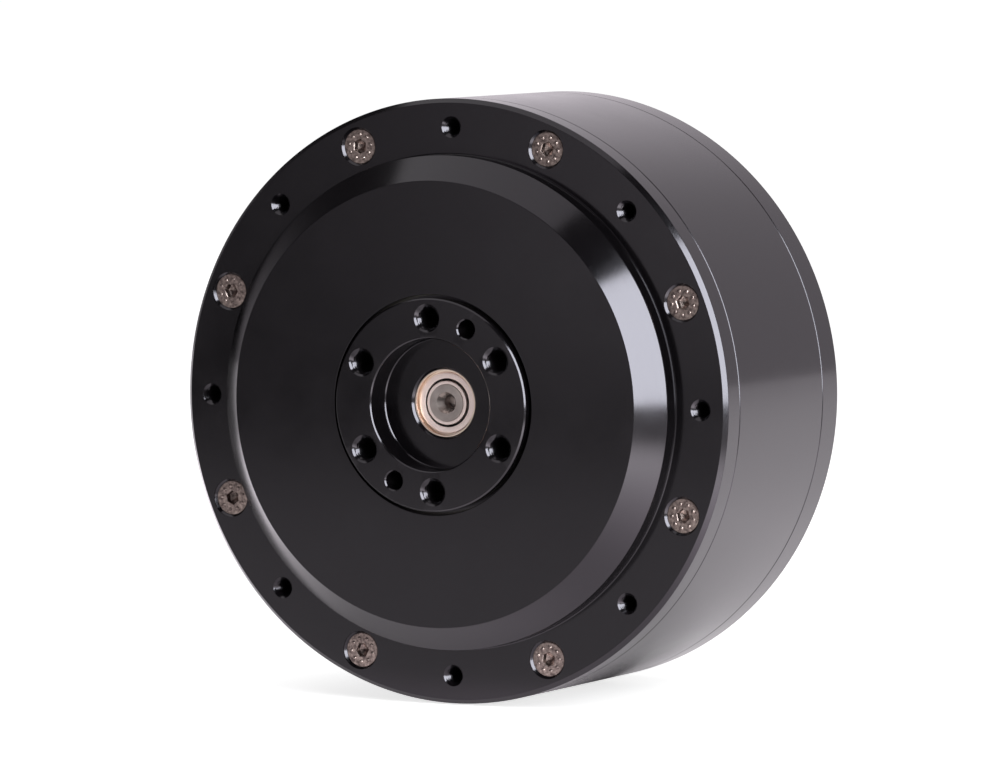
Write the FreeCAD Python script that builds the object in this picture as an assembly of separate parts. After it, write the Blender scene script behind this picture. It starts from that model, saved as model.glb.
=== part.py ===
import FreeCAD, Part
import math
import os

# Robot joint actuator, millimetres. Everything turns about the Y axis. The output flange faces -Y
# and +Z is up. The origin is the centre of the front mounting face, and depth grows towards +Y.
# An angle is counted from +X towards +Z.

# ---- case
CASE_WALL = 3.4
BELL_CLEARANCE = 0.6
FRONT_RIM = 4.8
REAR_RIM = 6.4
FRONT_CHAMFER = 0.7
REAR_CHAMFER = 0.5
RIM_WIDTH = 9.0
BOSS_HEIGHT = 7.0
BOSS_BEVEL = 4.0
BOSS_WALL = 2.4
THREAD_BAND = 8.0
THREAD_BAND_LENGTH = 6.0
SEAM_CHAMFER = 0.28
SPIGOT_LENGTH = 2.0
SPIGOT_WALL = 2.0
SPIGOT_PLAY = 0.1
COVER_POCKET_COUNT = 6
COVER_POCKET_WALL = 2.5
COVER_RIB_ANGLE = 18.0

# ---- screws and mounting holes
RIM_INSET = 4.6
RIM_SCREW_COUNT = 8
RIM_SCREW_LENGTH = 10.0
M3_RADIUS = 1.5
M3_TAP_RADIUS = 1.25
M3_HEAD_RADIUS = 2.85
M3_HEX = 2.0
M3_HEX_DEPTH = 1.2
M25_RADIUS = 1.25
M25_HEAD_RADIUS = 2.3
M25_HEX = 1.5
M25_HEX_DEPTH = 0.9
M25_CAP_HEAD_HEIGHT = 2.5
M2_RADIUS = 1.0
M2_HEAD_RADIUS = 1.8
HEAD_RECESS = 0.5
HEAD_MOUTH = 0.3
SHANK_PLAY = 0.1
THREAD_PLAY = 0.02
TAP_CHAMFER = 0.45

# ---- output flange
FLANGE_PROUD = 0.9
FLANGE_EDGE = 3.2
FLANGE_CHAMFER = 0.2
FLANGE_GAP = 0.6
RECESS_EDGE = 3.3
RECESS_DEPTH = 4.9
OUTPUT_CIRCLE = 14.0
OUTPUT_THREAD_COUNT = 6
DOWEL_COUNT = 2
M4_TAP_RADIUS = 1.7
M4_DEPTH = 8.5
DOWEL_RADIUS = 1.5
DOWEL_DEPTH = 6.0
DOWEL_CHAMFER = 0.2
OUTPUT_ANGLE = 2.0

# ---- bearings: bore and outer radius, width, and the radial height of one ring
JOURNAL_STEP = 0.3
OUTPUT_BEARING_HEIGHT = 6.0
OUTPUT_BEARING_WIDTH = 7.0
OUTPUT_BEARING_RING = 1.9
PILOT_BEARING_BORE = 3.0
PILOT_BEARING_OUTER = 5.0
PILOT_BEARING_WIDTH = 3.0
PILOT_SINK = 1.2
PILOT_OUTER_RING = 1.05
PILOT_INNER_RING = 0.55
PILOT_INNER_PROUD = 0.2
SUN_BEARING_BORE = 2.0
SUN_BEARING_OUTER = 4.0
SUN_BEARING_WIDTH = 2.0
SUN_BEARING_RING = 0.8
ROTOR_BEARING_BORE = 4.0
ROTOR_BEARING_OUTER = 8.0
ROTOR_BEARING_WIDTH = 5.0
ROTOR_BEARING_RING = 1.3
SHIELD_THICKNESS = 0.3
SHIELD_PLAY = 0.15
SLEEVE_WALL = 0.5
SLEEVE_PROUD = 0.7
SLEEVE_CHAMFER = 0.35
SHAFT_STUB_PROUD = 0.3
LATHE_CENTRE_RADIUS = 1.0
LATHE_CENTRE_DEPTH = 3.0
LATHE_CONE_RADIUS = 1.75

# ---- gears: both planetary stages run in one fixed ring gear, each 8 to 1
MODULE = 0.8
PRESSURE_ANGLE = math.radians(25.0)
ADDENDUM_MODULES = 0.8
DEDENDUM_MODULES = 1.05
FLANK_EASE = 0.045
FLANK_STEPS = 2
SUN_TEETH = 9
PLANET_TEETH = 27
RING_TEETH = SUN_TEETH + 2 * PLANET_TEETH
PLANETS = 3
PLANET_ANGLE = 60.0 + OUTPUT_ANGLE
OUTPUT_GEAR_WIDTH = 7.5
INPUT_GEAR_WIDTH = 5.6
STAGE_GAP = 0.4
PIN_PLAY = 0.06
OUTPUT_PIN_RADIUS = 3.0
OUTPUT_PIN_SEAT = 2.5
INPUT_PIN_RADIUS = 2.5
CARRIER_PLAY = 0.6
OUTPUT_DISC = 3.0
CARRIER_PLATE = 1.6
CARRIER_POST_RADIUS = 3.0
CARRIER_POST_EDGE = 0.5
INPUT_DISC = 2.4
SHAFT_NECK = 3.4
SHAFT_PLAY = 0.6
RING_WALL = 4.0
RING_SHOULDER = 1.0
RING_FLANGE_EDGE = 2.6
RING_FLANGE = 2.6
RING_LIP = 1.2
RING_LIP_PLAY = 1.2
RING_SCREW_OFFSET = 3.56
RING_SCREW_LENGTH = 6.0
END_PLATE = 2.0
END_SCREW_COUNT = 4
END_SCREW_ANGLE = 45.0

# ---- motor
TOOTH_LENGTH = 7.66
STATOR_STACK = 12.0
STATOR_YOKE = 2.6
STATOR_TOOTH_COUNT = 36
TOOTH_NECK = 2.6
TOOTH_SHOE = 5.6
SHOE_HEIGHT = 1.0
COIL_THICKNESS = 1.2
COIL_INSULATION = 0.15
COIL_HEAD = 2.2
AIR_GAP = 0.6
MAGNET_COUNT = 42
MAGNET_WIDTH = 5.2
MAGNET_THICKNESS = 2.0
MAGNET_LENGTH = 13.0
MAGNET_SEAT = 0.1
BELL_WALL = 2.0
BELL_DISC = 2.6
BELL_WINDOW_COUNT = 6
BELL_WINDOW_ANGLE = 30.0
BELL_WINDOW_RADIUS = 6.5
BELL_WINDOW_CIRCLE = 27.0
RUNNING_GAP = 0.7
REGISTER_RADIUS = 5.0
HUB_RADIUS = 11.0
HUB_THICKNESS = 2.0
HUB_SCREW_COUNT = 4
HUB_SCREW_CIRCLE = 8.2
BEARING_SHOULDER = 1.6
BEARING_LIP = 1.4
REAR_BOSS_WALL = 3.5
REAR_BOSS_LENGTH = 3.0
ENCODER_MAGNET_RADIUS = 2.5
ENCODER_MAGNET_LENGTH = 2.0
SHAFT_TAIL = 2.0

# ---- driver electronics
CAP_INSET = 10.5
CAP_HEADROOM = 0.4
CAP_WALL = 1.6
CAP_ROOF = 1.8
CAP_CHAMFER = 1.5
CAP_SEAT_PLAY = 0.3
WEB_THICKNESS = 3.4
BOARD_PLAY = 0.8
BOARD_THICKNESS = 1.6
BOARD_PROUD = 0.2
STANDOFF_RADIUS = 3.2
STANDOFF_INSET = 4.8
STANDOFF_COUNT = 4
STANDOFF_ANGLE = 45.0
CAP_SCREW_BITE = 2.0
CAPACITOR_RADIUS = 4.0
CAPACITOR_HEIGHT = 7.0
CAPACITOR_CIRCLE = 24.0
CAPACITOR_COUNT = 3
CAPACITOR_STEP = 28.0
CHIP_HEIGHT = 1.1
CONTROLLER_SIDE = 9.0
ENCODER_CHIP_SIDE = 4.0
SWITCH_SIZE = (5.0, 6.0)
SWITCH_SPACING = 8.0
SWITCH_COLUMNS = 3
SWITCH_ROWS = (-9.0, 10.0)
POWER_SOCKET = (12.4, 8.2)
POWER_SOCKET_Z = -24.0
POWER_CONTACT_SPACING = 5.0
POWER_CONTACT_RADIUS = 1.6
POWER_CONTACT_BORE = 1.05
POWER_CONTACT_DEPTH = 8.0
SIGNAL_SOCKET = (9.6, 4.6)
SIGNAL_SOCKET_X = 15.5
SIGNAL_SOCKET_Z = -13.0
SIGNAL_WALL = 1.0
SIGNAL_DEPTH = 4.5
SIGNAL_PIN_COUNT = 4
SIGNAL_PIN = 0.5
SOCKET_INSET = 0.3
WINDOW_PLAY = 0.3

# ---- phase leads: three flat strips from the coils to the driver board
LEAD_COUNT = 3
LEAD_ANGLE = -78.75
LEAD_WIDTH = 2.2
LEAD_THICKNESS = 1.4
LEAD_PITCH = 2.8
LEAD_PLAY = 0.25
LEAD_OVERCUT = 1.0

AXIS = FreeCAD.Vector(0, 1, 0)
CENTRE = FreeCAD.Vector(0, 0, 0)
FRONTWARD = -1
REARWARD = 1

# ---- radii, from the gears outwards
addendum = ADDENDUM_MODULES * MODULE
dedendum = DEDENDUM_MODULES * MODULE
sun_pitch = MODULE * SUN_TEETH / 2
planet_pitch = MODULE * PLANET_TEETH / 2
ring_pitch = MODULE * RING_TEETH / 2
planet_circle = sun_pitch + planet_pitch
ring_outer = ring_pitch + dedendum + RING_WALL
ring_screw_circle = ring_outer + RING_SCREW_OFFSET
ring_flange_radius = ring_screw_circle + RING_FLANGE_EDGE
gear_bore = sun_pitch + addendum + SHAFT_PLAY
yoke_outer = ring_outer + STATOR_YOKE
stator_radius = yoke_outer + TOOTH_LENGTH
magnet_inner = stator_radius + AIR_GAP
bell_inner = magnet_inner + MAGNET_THICKNESS + MAGNET_SEAT
bell_outer = bell_inner + BELL_WALL
housing_inner = bell_outer + BELL_CLEARANCE
case_radius = housing_inner + CASE_WALL
band_inner = case_radius - THREAD_BAND
rim_circle = case_radius - RIM_INSET
boss_radius = case_radius - RIM_WIDTH
cap_radius = case_radius - CAP_INSET
cap_inner = cap_radius - CAP_WALL
pocket_radius = cap_inner - CAP_SEAT_PLAY
board_radius = pocket_radius - BOARD_PLAY
standoff_circle = board_radius - STANDOFF_INSET

# ---- radii of the output, from its bolt circle
flange_radius = OUTPUT_CIRCLE + FLANGE_EDGE
recess_radius = OUTPUT_CIRCLE - RECESS_EDGE
journal_radius = flange_radius + JOURNAL_STEP
output_bearing_radius = journal_radius + OUTPUT_BEARING_HEIGHT
carrier_radius = output_bearing_radius - OUTPUT_BEARING_RING - CARRIER_PLAY
post_circle = carrier_radius - CARRIER_POST_RADIUS - CARRIER_POST_EDGE
ring_lip_radius = carrier_radius + RING_LIP_PLAY

# ---- places along the axis, from the output flange rearwards
housing_front = FRONT_RIM
boss_face = -BOSS_HEIGHT
flange_face = boss_face - FLANGE_PROUD
recess_floor = flange_face + RECESS_DEPTH
pilot_front = recess_floor + PILOT_SINK
pilot_rear = pilot_front + PILOT_BEARING_WIDTH
bearing_front = boss_face + BOSS_WALL
bearing_rear = bearing_front + OUTPUT_BEARING_WIDTH
disc_rear = bearing_rear + OUTPUT_DISC
output_gear_front = disc_rear + STAGE_GAP
output_gear_rear = output_gear_front + OUTPUT_GEAR_WIDTH
plate_front = output_gear_rear + STAGE_GAP
plate_rear = plate_front + CARRIER_PLATE
input_disc_front = plate_rear + STAGE_GAP
input_disc_rear = input_disc_front + INPUT_DISC
input_gear_front = input_disc_rear + STAGE_GAP
input_gear_rear = input_gear_front + INPUT_GEAR_WIDTH
end_plate_front = input_gear_rear + STAGE_GAP
end_plate_rear = end_plate_front + END_PLATE
bell_disc_front = end_plate_rear + RUNNING_GAP
bell_disc_rear = bell_disc_front + BELL_DISC
coil_rear = bell_disc_front - RUNNING_GAP
stack_rear = coil_rear - COIL_HEAD
stack_front = stack_rear - STATOR_STACK
coil_front = stack_front - COIL_HEAD
front_band_rear = housing_front + THREAD_BAND_LENGTH
rear_band_front = bell_disc_rear + RUNNING_GAP
bell_front = front_band_rear + RUNNING_GAP
hub_rear = bell_disc_rear + HUB_THICKNESS
rotor_bearing_front = hub_rear + BEARING_SHOULDER
rotor_bearing_rear = rotor_bearing_front + ROTOR_BEARING_WIDTH
housing_rear = rotor_bearing_front + REAR_BOSS_LENGTH
web_rear = housing_rear + WEB_THICKNESS
case_length = housing_rear + REAR_RIM
board_front = case_length + BOARD_PROUD
board_rear = board_front + BOARD_THICKNESS
cap_ceiling = board_rear + CAPACITOR_HEIGHT + CAP_HEADROOM
cap_face = cap_ceiling + CAP_ROOF
socket_face = cap_face - SOCKET_INSET
cap_screw_length = cap_face - board_front + CAP_SCREW_BITE


def at(angle, radius, depth):
    """The point at an angle in degrees and a radius round the output axis."""
    turn = math.radians(angle)
    return FreeCAD.Vector(radius * math.cos(turn), depth, radius * math.sin(turn))


def evenly(count, start):
    """Angles of count things spread evenly round the axis."""
    return [start + 360.0 * i / count for i in range(count)]


def turned(outline):
    """A solid of revolution about the output axis from corners of (radius, depth)."""
    corners = [FreeCAD.Vector(radius, depth, 0) for radius, depth in outline]
    face = Part.Face(Part.makePolygon(corners + corners[:1]))
    return face.revolve(CENTRE, AXIS, 360)


def ring(inner, outer, front, rear):
    """A plain ring or tube between two depths."""
    return turned([(inner, front), (outer, front), (outer, rear), (inner, rear)])


def rod(centre, radius, length, way=REARWARD):
    """A cylinder along the axis that starts at centre and runs frontward or rearward."""
    return Part.makeCylinder(radius, length, centre, AXIS * way)


def cone(centre, start_radius, end_radius, length, way=REARWARD):
    """A cone along the axis that starts at centre."""
    return Part.makeCone(start_radius, end_radius, length, centre, AXIS * way)


def block(centre_x, centre_z, width, height, front, rear):
    """A box centred on a point of the board's plane, between two depths."""
    corner = FreeCAD.Vector(centre_x - width / 2, front, centre_z - height / 2)
    return Part.makeBox(width, rear - front, height, corner)


def joined(shapes):
    """One solid from touching solids."""
    return shapes[0].multiFuse(shapes[1:]).removeSplitter()


def about_axis(shape, angle):
    """A copy of a shape turned about the output axis, +X towards +Z."""
    copy = shape.copy()
    copy.rotate(CENTRE, AXIS, -angle)
    return copy


def prism(points, front, rear):
    """A prism along the axis over corners of (x, z)."""
    corners = [FreeCAD.Vector(x, front, z) for x, z in points]
    face = Part.Face(Part.makePolygon(corners + corners[:1]))
    return face.extrude(AXIS * (rear - front))


def save(name, shape):
    """Write one node."""
    shape.exportStep("parts/" + name + ".step")


# ---- fasteners

def tapped_hole(mouth, tap_radius, depth, chamfer, way=REARWARD):
    """The metal taken out for a threaded hole with a chamfered mouth."""
    mouth_cone = cone(mouth, tap_radius + chamfer, tap_radius, chamfer, way)
    return rod(mouth, tap_radius, depth, way).fuse(mouth_cone)


def countersunk_hole(mouth, head_radius, shank_radius, recess, depth, way=REARWARD):
    """A hole whose 90 degree cone seats a flat head, with the head's top set below the face."""
    mouth_radius = head_radius + HEAD_MOUTH
    straight = recess - HEAD_MOUTH
    hole_radius = shank_radius + SHANK_PLAY
    seat = mouth + AXIS * (way * max(straight, 0))
    top_radius = mouth_radius if straight > 0 else head_radius + recess
    cut = rod(mouth, hole_radius, depth, way)
    cut = cut.fuse(cone(seat, top_radius, hole_radius, top_radius - hole_radius, way))
    if straight > 0:
        cut = cut.fuse(rod(mouth, mouth_radius, straight, way))
    return cut


def countersunk_screw(top, head_radius, shank_radius, length, way=REARWARD):
    """A flat head screw from the top of its head to its tip."""
    head_height = head_radius - shank_radius
    head = cone(top, head_radius, shank_radius, head_height, way)
    return head.fuse(rod(top, shank_radius, length, way)).removeSplitter()


def hex_socket(top, across_flats, depth, way=REARWARD):
    """The hexagonal socket of a screw head."""
    reach = across_flats / math.sqrt(3)
    corners = [top + at(angle, reach, 0) for angle in evenly(6, 0)]
    face = Part.Face(Part.makePolygon(corners + corners[:1]))
    return face.extrude(AXIS * (way * depth))


def rim_screws(face, way):
    """The eight M3 screws of one cover, with heads below its face."""
    screws = []
    for angle in evenly(RIM_SCREW_COUNT, 180.0 / RIM_SCREW_COUNT):
        top = at(angle, rim_circle, face + way * HEAD_RECESS)
        screw = countersunk_screw(top, M3_HEAD_RADIUS, M3_RADIUS, RIM_SCREW_LENGTH, way)
        screws.append(screw.cut(hex_socket(top, M3_HEX, M3_HEX_DEPTH, way)))
    return Part.makeCompound(screws)


def rim_screw_holes(face, depth, way):
    """Countersunk holes for the screws of one cover."""
    mouths = [at(angle, rim_circle, face) for angle in evenly(RIM_SCREW_COUNT, 180.0 / RIM_SCREW_COUNT)]
    return [countersunk_hole(m, M3_HEAD_RADIUS, M3_RADIUS, HEAD_RECESS, depth, way) for m in mouths]


# ---- case

def front_cover():
    """Ring with the mounting face, and the bevelled boss that seats the output bearing."""
    bore = flange_radius + FLANGE_GAP
    register = ring_flange_radius + SPIGOT_PLAY
    spigot = band_inner - SPIGOT_PLAY
    cover = turned([
        (bore, boss_face),
        (boss_radius - BOSS_BEVEL, boss_face),
        (boss_radius, boss_face + BOSS_BEVEL),
        (boss_radius, 0),
        (case_radius - FRONT_CHAMFER, 0),
        (case_radius, FRONT_CHAMFER),
        (case_radius, housing_front),
        (spigot, housing_front),
        (spigot, housing_front + SPIGOT_LENGTH),
        (register, housing_front + SPIGOT_LENGTH),
        (register, bearing_rear),
        (output_bearing_radius, bearing_rear),
        (output_bearing_radius, bearing_front),
        (bore, bearing_front),
    ])
    cuts = rim_screw_holes(0, housing_front, REARWARD)
    for angle in evenly(RIM_SCREW_COUNT, 0):
        mouth = at(angle, rim_circle, 0)
        cuts.append(tapped_hole(mouth, M3_TAP_RADIUS, housing_front, TAP_CHAMFER))
    for angle in evenly(COVER_POCKET_COUNT, 0):
        top = at(angle, ring_screw_circle, bearing_rear)
        cuts.append(rod(top, M25_RADIUS + THREAD_PLAY, RING_SCREW_LENGTH - RING_FLANGE, FRONTWARD))
        cuts.append(cover_pocket(angle + COVER_RIB_ANGLE / 2))
    return cover.cut(cuts)


def cover_pocket(start):
    """One of the pockets between the ribs behind the boss face."""
    inner = output_bearing_radius + COVER_POCKET_WALL
    outer = ring_screw_circle + M25_RADIUS
    front = bearing_front
    sweep = 360.0 / COVER_POCKET_COUNT - COVER_RIB_ANGLE
    corners = [(inner, front), (outer, front), (outer, bearing_rear), (inner, bearing_rear)]
    points = [FreeCAD.Vector(radius, depth, 0) for radius, depth in corners]
    face = Part.Face(Part.makePolygon(points + points[:1]))
    return about_axis(face.revolve(CENTRE, AXIS, -sweep), start)


def housing():
    """The cylinder between the covers, with a threaded band inside each end."""
    shell = turned([
        (band_inner, housing_front),
        (case_radius - SEAM_CHAMFER, housing_front),
        (case_radius, housing_front + SEAM_CHAMFER),
        (case_radius, housing_rear),
        (band_inner, housing_rear),
        (band_inner, rear_band_front),
        (housing_inner, rear_band_front),
        (housing_inner, front_band_rear),
        (band_inner, front_band_rear),
    ])
    thread = M3_RADIUS + THREAD_PLAY
    cuts = []
    for angle in evenly(RIM_SCREW_COUNT, 180.0 / RIM_SCREW_COUNT):
        front = at(angle, rim_circle, housing_front)
        rear = at(angle, rim_circle, housing_rear)
        cuts.append(rod(front, thread, front_band_rear - housing_front))
        cuts.append(rod(rear, thread, housing_rear - rear_band_front, FRONTWARD))
    cuts.append(lead_channel())
    return shell.cut(cuts)


def rear_cover():
    """Plate that seats the rotor bearing in front and the driver board behind."""
    spigot = band_inner - SPIGOT_PLAY
    boss_outer = ROTOR_BEARING_OUTER + REAR_BOSS_WALL
    bearing_stop = ROTOR_BEARING_OUTER - BEARING_LIP
    plate = turned([
        (ROTOR_BEARING_OUTER, rotor_bearing_front),
        (boss_outer, rotor_bearing_front),
        (boss_outer, housing_rear),
        (spigot - SPIGOT_WALL, housing_rear),
        (spigot - SPIGOT_WALL, housing_rear - SPIGOT_LENGTH),
        (spigot, housing_rear - SPIGOT_LENGTH),
        (spigot, housing_rear),
        (case_radius - SEAM_CHAMFER, housing_rear),
        (case_radius, housing_rear + SEAM_CHAMFER),
        (case_radius, case_length - REAR_CHAMFER),
        (case_radius - REAR_CHAMFER, case_length),
        (pocket_radius, case_length),
        (pocket_radius, web_rear),
        (bearing_stop, web_rear),
        (bearing_stop, rotor_bearing_rear),
        (ROTOR_BEARING_OUTER, rotor_bearing_rear),
    ])
    posts = [rod(place, STANDOFF_RADIUS, board_front - web_rear) for place in standoff_places(web_rear)]
    plate = joined([plate] + posts)
    cuts = rim_screw_holes(case_length, REAR_RIM, FRONTWARD)
    for place in standoff_places(board_front):
        cuts.append(rod(place, M25_RADIUS + THREAD_PLAY, CAP_SCREW_BITE + M25_RADIUS, FRONTWARD))
    cuts.append(lead_window())
    return plate.cut(cuts)


def standoff_places(depth):
    """Centres of the four posts that carry the board and the cap."""
    return [at(angle, standoff_circle, depth) for angle in evenly(STANDOFF_COUNT, STANDOFF_ANGLE)]


def driver_cap():
    """Round cap over the driver board, with pillars for its screws and windows for the sockets."""
    cap = turned([
        (cap_inner, case_length),
        (cap_radius, case_length),
        (cap_radius, cap_face - CAP_CHAMFER),
        (cap_radius - CAP_CHAMFER, cap_face),
        (0, cap_face),
        (0, cap_ceiling),
        (cap_inner, cap_ceiling),
    ])
    pillars = [rod(p, STANDOFF_RADIUS, cap_ceiling - board_rear) for p in standoff_places(board_rear)]
    cap = joined([cap] + pillars)
    cuts = []
    for place in standoff_places(cap_face):
        depth = cap_face - board_rear
        cuts.append(countersunk_hole(place, M25_HEAD_RADIUS, M25_RADIUS, 0, depth, FRONTWARD))
    for x, z, size in socket_places():
        width = size[0] + 2 * WINDOW_PLAY
        height = size[1] + 2 * WINDOW_PLAY
        cuts.append(block(x, z, width, height, cap_ceiling, cap_face))
    return cap.cut(cuts)


def cap_screws():
    """Screws that clamp the cap and the board onto the rear cover's posts."""
    screws = []
    for place in standoff_places(cap_face):
        screw = countersunk_screw(place, M25_HEAD_RADIUS, M25_RADIUS, cap_screw_length, FRONTWARD)
        screws.append(screw.cut(hex_socket(place, M25_HEX, M25_HEX_DEPTH, FRONTWARD)))
    return Part.makeCompound(screws)


# ---- output flange and its bearings

def output_flange():
    """Flange, bearing journal and first carrier disc in one piece, with posts for the carrier plate."""
    sleeve_outer = PILOT_BEARING_OUTER + SLEEVE_WALL
    bore = PILOT_BEARING_BORE + PILOT_INNER_RING + SHAFT_PLAY
    flange = turned([
        (recess_radius, flange_face + FLANGE_CHAMFER),
        (recess_radius + FLANGE_CHAMFER, flange_face),
        (flange_radius - FLANGE_CHAMFER, flange_face),
        (flange_radius, flange_face + FLANGE_CHAMFER),
        (flange_radius, bearing_front),
        (journal_radius, bearing_front),
        (journal_radius, bearing_rear),
        (carrier_radius, bearing_rear),
        (carrier_radius, disc_rear),
        (bore, disc_rear),
        (bore, pilot_rear),
        (sleeve_outer, pilot_rear),
        (sleeve_outer, recess_floor + SLEEVE_CHAMFER),
        (sleeve_outer + SLEEVE_CHAMFER, recess_floor),
        (recess_radius, recess_floor),
    ])
    posts = [rod(p, CARRIER_POST_RADIUS, plate_front - disc_rear) for p in post_places(disc_rear)]
    flange = joined([flange] + posts)
    cuts = []
    for angle in evenly(OUTPUT_THREAD_COUNT, 90.0 + OUTPUT_ANGLE):
        mouth = at(angle, OUTPUT_CIRCLE, flange_face)
        cuts.append(tapped_hole(mouth, M4_TAP_RADIUS, M4_DEPTH, TAP_CHAMFER))
    for angle in evenly(DOWEL_COUNT, PLANET_ANGLE):
        mouth = at(angle, OUTPUT_CIRCLE, flange_face)
        cuts.append(tapped_hole(mouth, DOWEL_RADIUS, DOWEL_DEPTH, DOWEL_CHAMFER))
    for place in planet_places(disc_rear):
        cuts.append(rod(place, OUTPUT_PIN_RADIUS, OUTPUT_PIN_SEAT, FRONTWARD))
    for place in post_places(plate_front):
        cuts.append(rod(place, M25_RADIUS + THREAD_PLAY, OUTPUT_GEAR_WIDTH, FRONTWARD))
    return flange.cut(cuts)


def planet_places(depth):
    """Centres of the three planets of either stage."""
    return [at(angle, planet_circle, depth) for angle in evenly(PLANETS, PLANET_ANGLE)]


def post_places(depth):
    """Centres of the three posts between the planets of the output stage."""
    return [at(angle, post_circle, depth) for angle in evenly(PLANETS, PLANET_ANGLE + 180.0 / PLANETS)]


def carrier_plate():
    """Rear plate of the output carrier, over the planets and screwed to the posts."""
    plate = ring(gear_bore, carrier_radius, plate_front, plate_rear)
    cuts = [rod(place, OUTPUT_PIN_RADIUS, CARRIER_PLATE) for place in planet_places(plate_front)]
    for place in post_places(plate_rear):
        cuts.append(
            countersunk_hole(place, M25_HEAD_RADIUS, M25_RADIUS, 0, CARRIER_PLATE, FRONTWARD)
        )
    return plate.cut(cuts)


def carrier_screws():
    """Screws of the carrier plate, flush with its rear face."""
    length = CARRIER_PLATE + OUTPUT_GEAR_WIDTH - M25_RADIUS
    places = post_places(plate_rear)
    return Part.makeCompound(
        [countersunk_screw(p, M25_HEAD_RADIUS, M25_RADIUS, length, FRONTWARD) for p in places]
    )


def shields(inner, outer, front, rear):
    """The two thin shields of a bearing, each set in from its face."""
    first = ring(inner, outer, front + SHIELD_THICKNESS, front + 2 * SHIELD_THICKNESS)
    second = ring(inner, outer, rear - 2 * SHIELD_THICKNESS, rear - SHIELD_THICKNESS)
    return Part.makeCompound([first, second])


def pilot_outer_ring():
    """Outer ring of the pilot bearing, with the rounded front corner as a chamfer."""
    front = pilot_front
    inner = PILOT_BEARING_OUTER - PILOT_OUTER_RING
    return turned([
        (inner, front),
        (PILOT_BEARING_OUTER - SHIELD_THICKNESS, front),
        (PILOT_BEARING_OUTER, front + SHIELD_THICKNESS),
        (PILOT_BEARING_OUTER, front + PILOT_BEARING_WIDTH),
        (inner, front + PILOT_BEARING_WIDTH),
    ])


# ---- gears

def tooth_half_angle(radius, pitch_radius, teeth, ease):
    """Half the angle that a tooth fills at a radius, on an involute flank."""
    base = pitch_radius * math.cos(PRESSURE_ANGLE)
    turn = math.acos(min(base / radius, 1.0))
    rise = math.tan(PRESSURE_ANGLE) - PRESSURE_ANGLE - math.tan(turn) + turn
    return math.pi / (2 * teeth) - ease / pitch_radius + rise


def gear_outline(teeth, root_radius, tip_radius, ease, first_angle):
    """Corners of a gear whose first tooth is centred on first_angle, with chords along each flank."""
    pitch_radius = MODULE * teeth / 2
    base = pitch_radius * math.cos(PRESSURE_ANGLE)
    flank_start = max(base, root_radius)
    radii = [flank_start + (tip_radius - flank_start) * i / FLANK_STEPS for i in range(FLANK_STEPS + 1)]
    flank = [(r, tooth_half_angle(r, pitch_radius, teeth, ease)) for r in radii]
    if root_radius < base:
        flank.insert(0, (root_radius, flank[0][1]))
    points = []
    for tooth in range(teeth):
        centre = math.radians(first_angle) + 2 * math.pi * tooth / teeth
        points += [(r, centre - half) for r, half in flank]
        points += [(r, centre + half) for r, half in reversed(flank)]
    return [(r * math.cos(turn), r * math.sin(turn)) for r, turn in points]


def sun_gear(front, rear):
    """Sun teeth, with a tooth pointing at each planet."""
    outline = gear_outline(
        SUN_TEETH, sun_pitch - dedendum, sun_pitch + addendum, FLANK_EASE, PLANET_ANGLE
    )
    return prism(outline, front, rear)


def planet_gear(angle, front, rear, pin_radius):
    """One planet in mesh at rest: a tooth points outwards, and a space faces the sun."""
    outline = gear_outline(
        PLANET_TEETH, planet_pitch - dedendum, planet_pitch + addendum, FLANK_EASE, angle
    )
    gear = prism(outline, front, rear)
    gear.translate(at(angle, planet_circle, 0))
    return gear.cut(rod(at(angle, planet_circle, front), pin_radius + PIN_PLAY, rear - front))


def ring_gear():
    """Fixed ring gear of both stages. Its outside carries the stator, its flange the front cover."""
    blank = turned([
        (ring_lip_radius, bearing_rear),
        (ring_flange_radius, bearing_rear),
        (ring_flange_radius, bearing_rear + RING_FLANGE),
        (ring_outer + RING_SHOULDER, bearing_rear + RING_FLANGE),
        (ring_outer + RING_SHOULDER, stack_front),
        (ring_outer, stack_front),
        (ring_outer, end_plate_front),
        (ring_lip_radius, end_plate_front),
    ])
    spaces = gear_outline(
        RING_TEETH, ring_pitch - addendum, ring_pitch + dedendum, -FLANK_EASE, PLANET_ANGLE
    )
    cuts = [prism(spaces, bearing_rear + RING_LIP, end_plate_front)]
    for angle in evenly(COVER_POCKET_COUNT, 0):
        place = at(angle, ring_screw_circle, bearing_rear)
        cuts.append(rod(place, M25_RADIUS + SHANK_PLAY, RING_FLANGE))
    for place in end_screw_places(end_plate_front):
        cuts.append(rod(place, M2_RADIUS + THREAD_PLAY, 2 * END_PLATE, FRONTWARD))
    return blank.cut(cuts)


def ring_gear_screws():
    """Socket cap screws that hold the ring gear to the front cover."""
    seat = bearing_rear + RING_FLANGE
    screws = []
    for angle in evenly(COVER_POCKET_COUNT, 0):
        place = at(angle, ring_screw_circle, seat)
        head = rod(place, M25_HEAD_RADIUS, M25_CAP_HEAD_HEIGHT)
        screws.append(head.fuse(rod(place, M25_RADIUS, RING_SCREW_LENGTH, FRONTWARD)))
    return Part.makeCompound(screws)


def end_screw_places(depth):
    """Centres of the screws of the gearbox end plate, in the ring gear's wall."""
    circle = ring_pitch + dedendum + RING_WALL / 2
    return [at(angle, circle, depth) for angle in evenly(END_SCREW_COUNT, END_SCREW_ANGLE)]


def gearbox_end_plate():
    """Plate that closes the rear of the gear train."""
    plate = ring(gear_bore, ring_outer, end_plate_front, end_plate_rear)
    holes = [
        countersunk_hole(place, M2_HEAD_RADIUS, M2_RADIUS, 0, END_PLATE, FRONTWARD)
        for place in end_screw_places(end_plate_rear)
    ]
    return plate.cut(holes)


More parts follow.
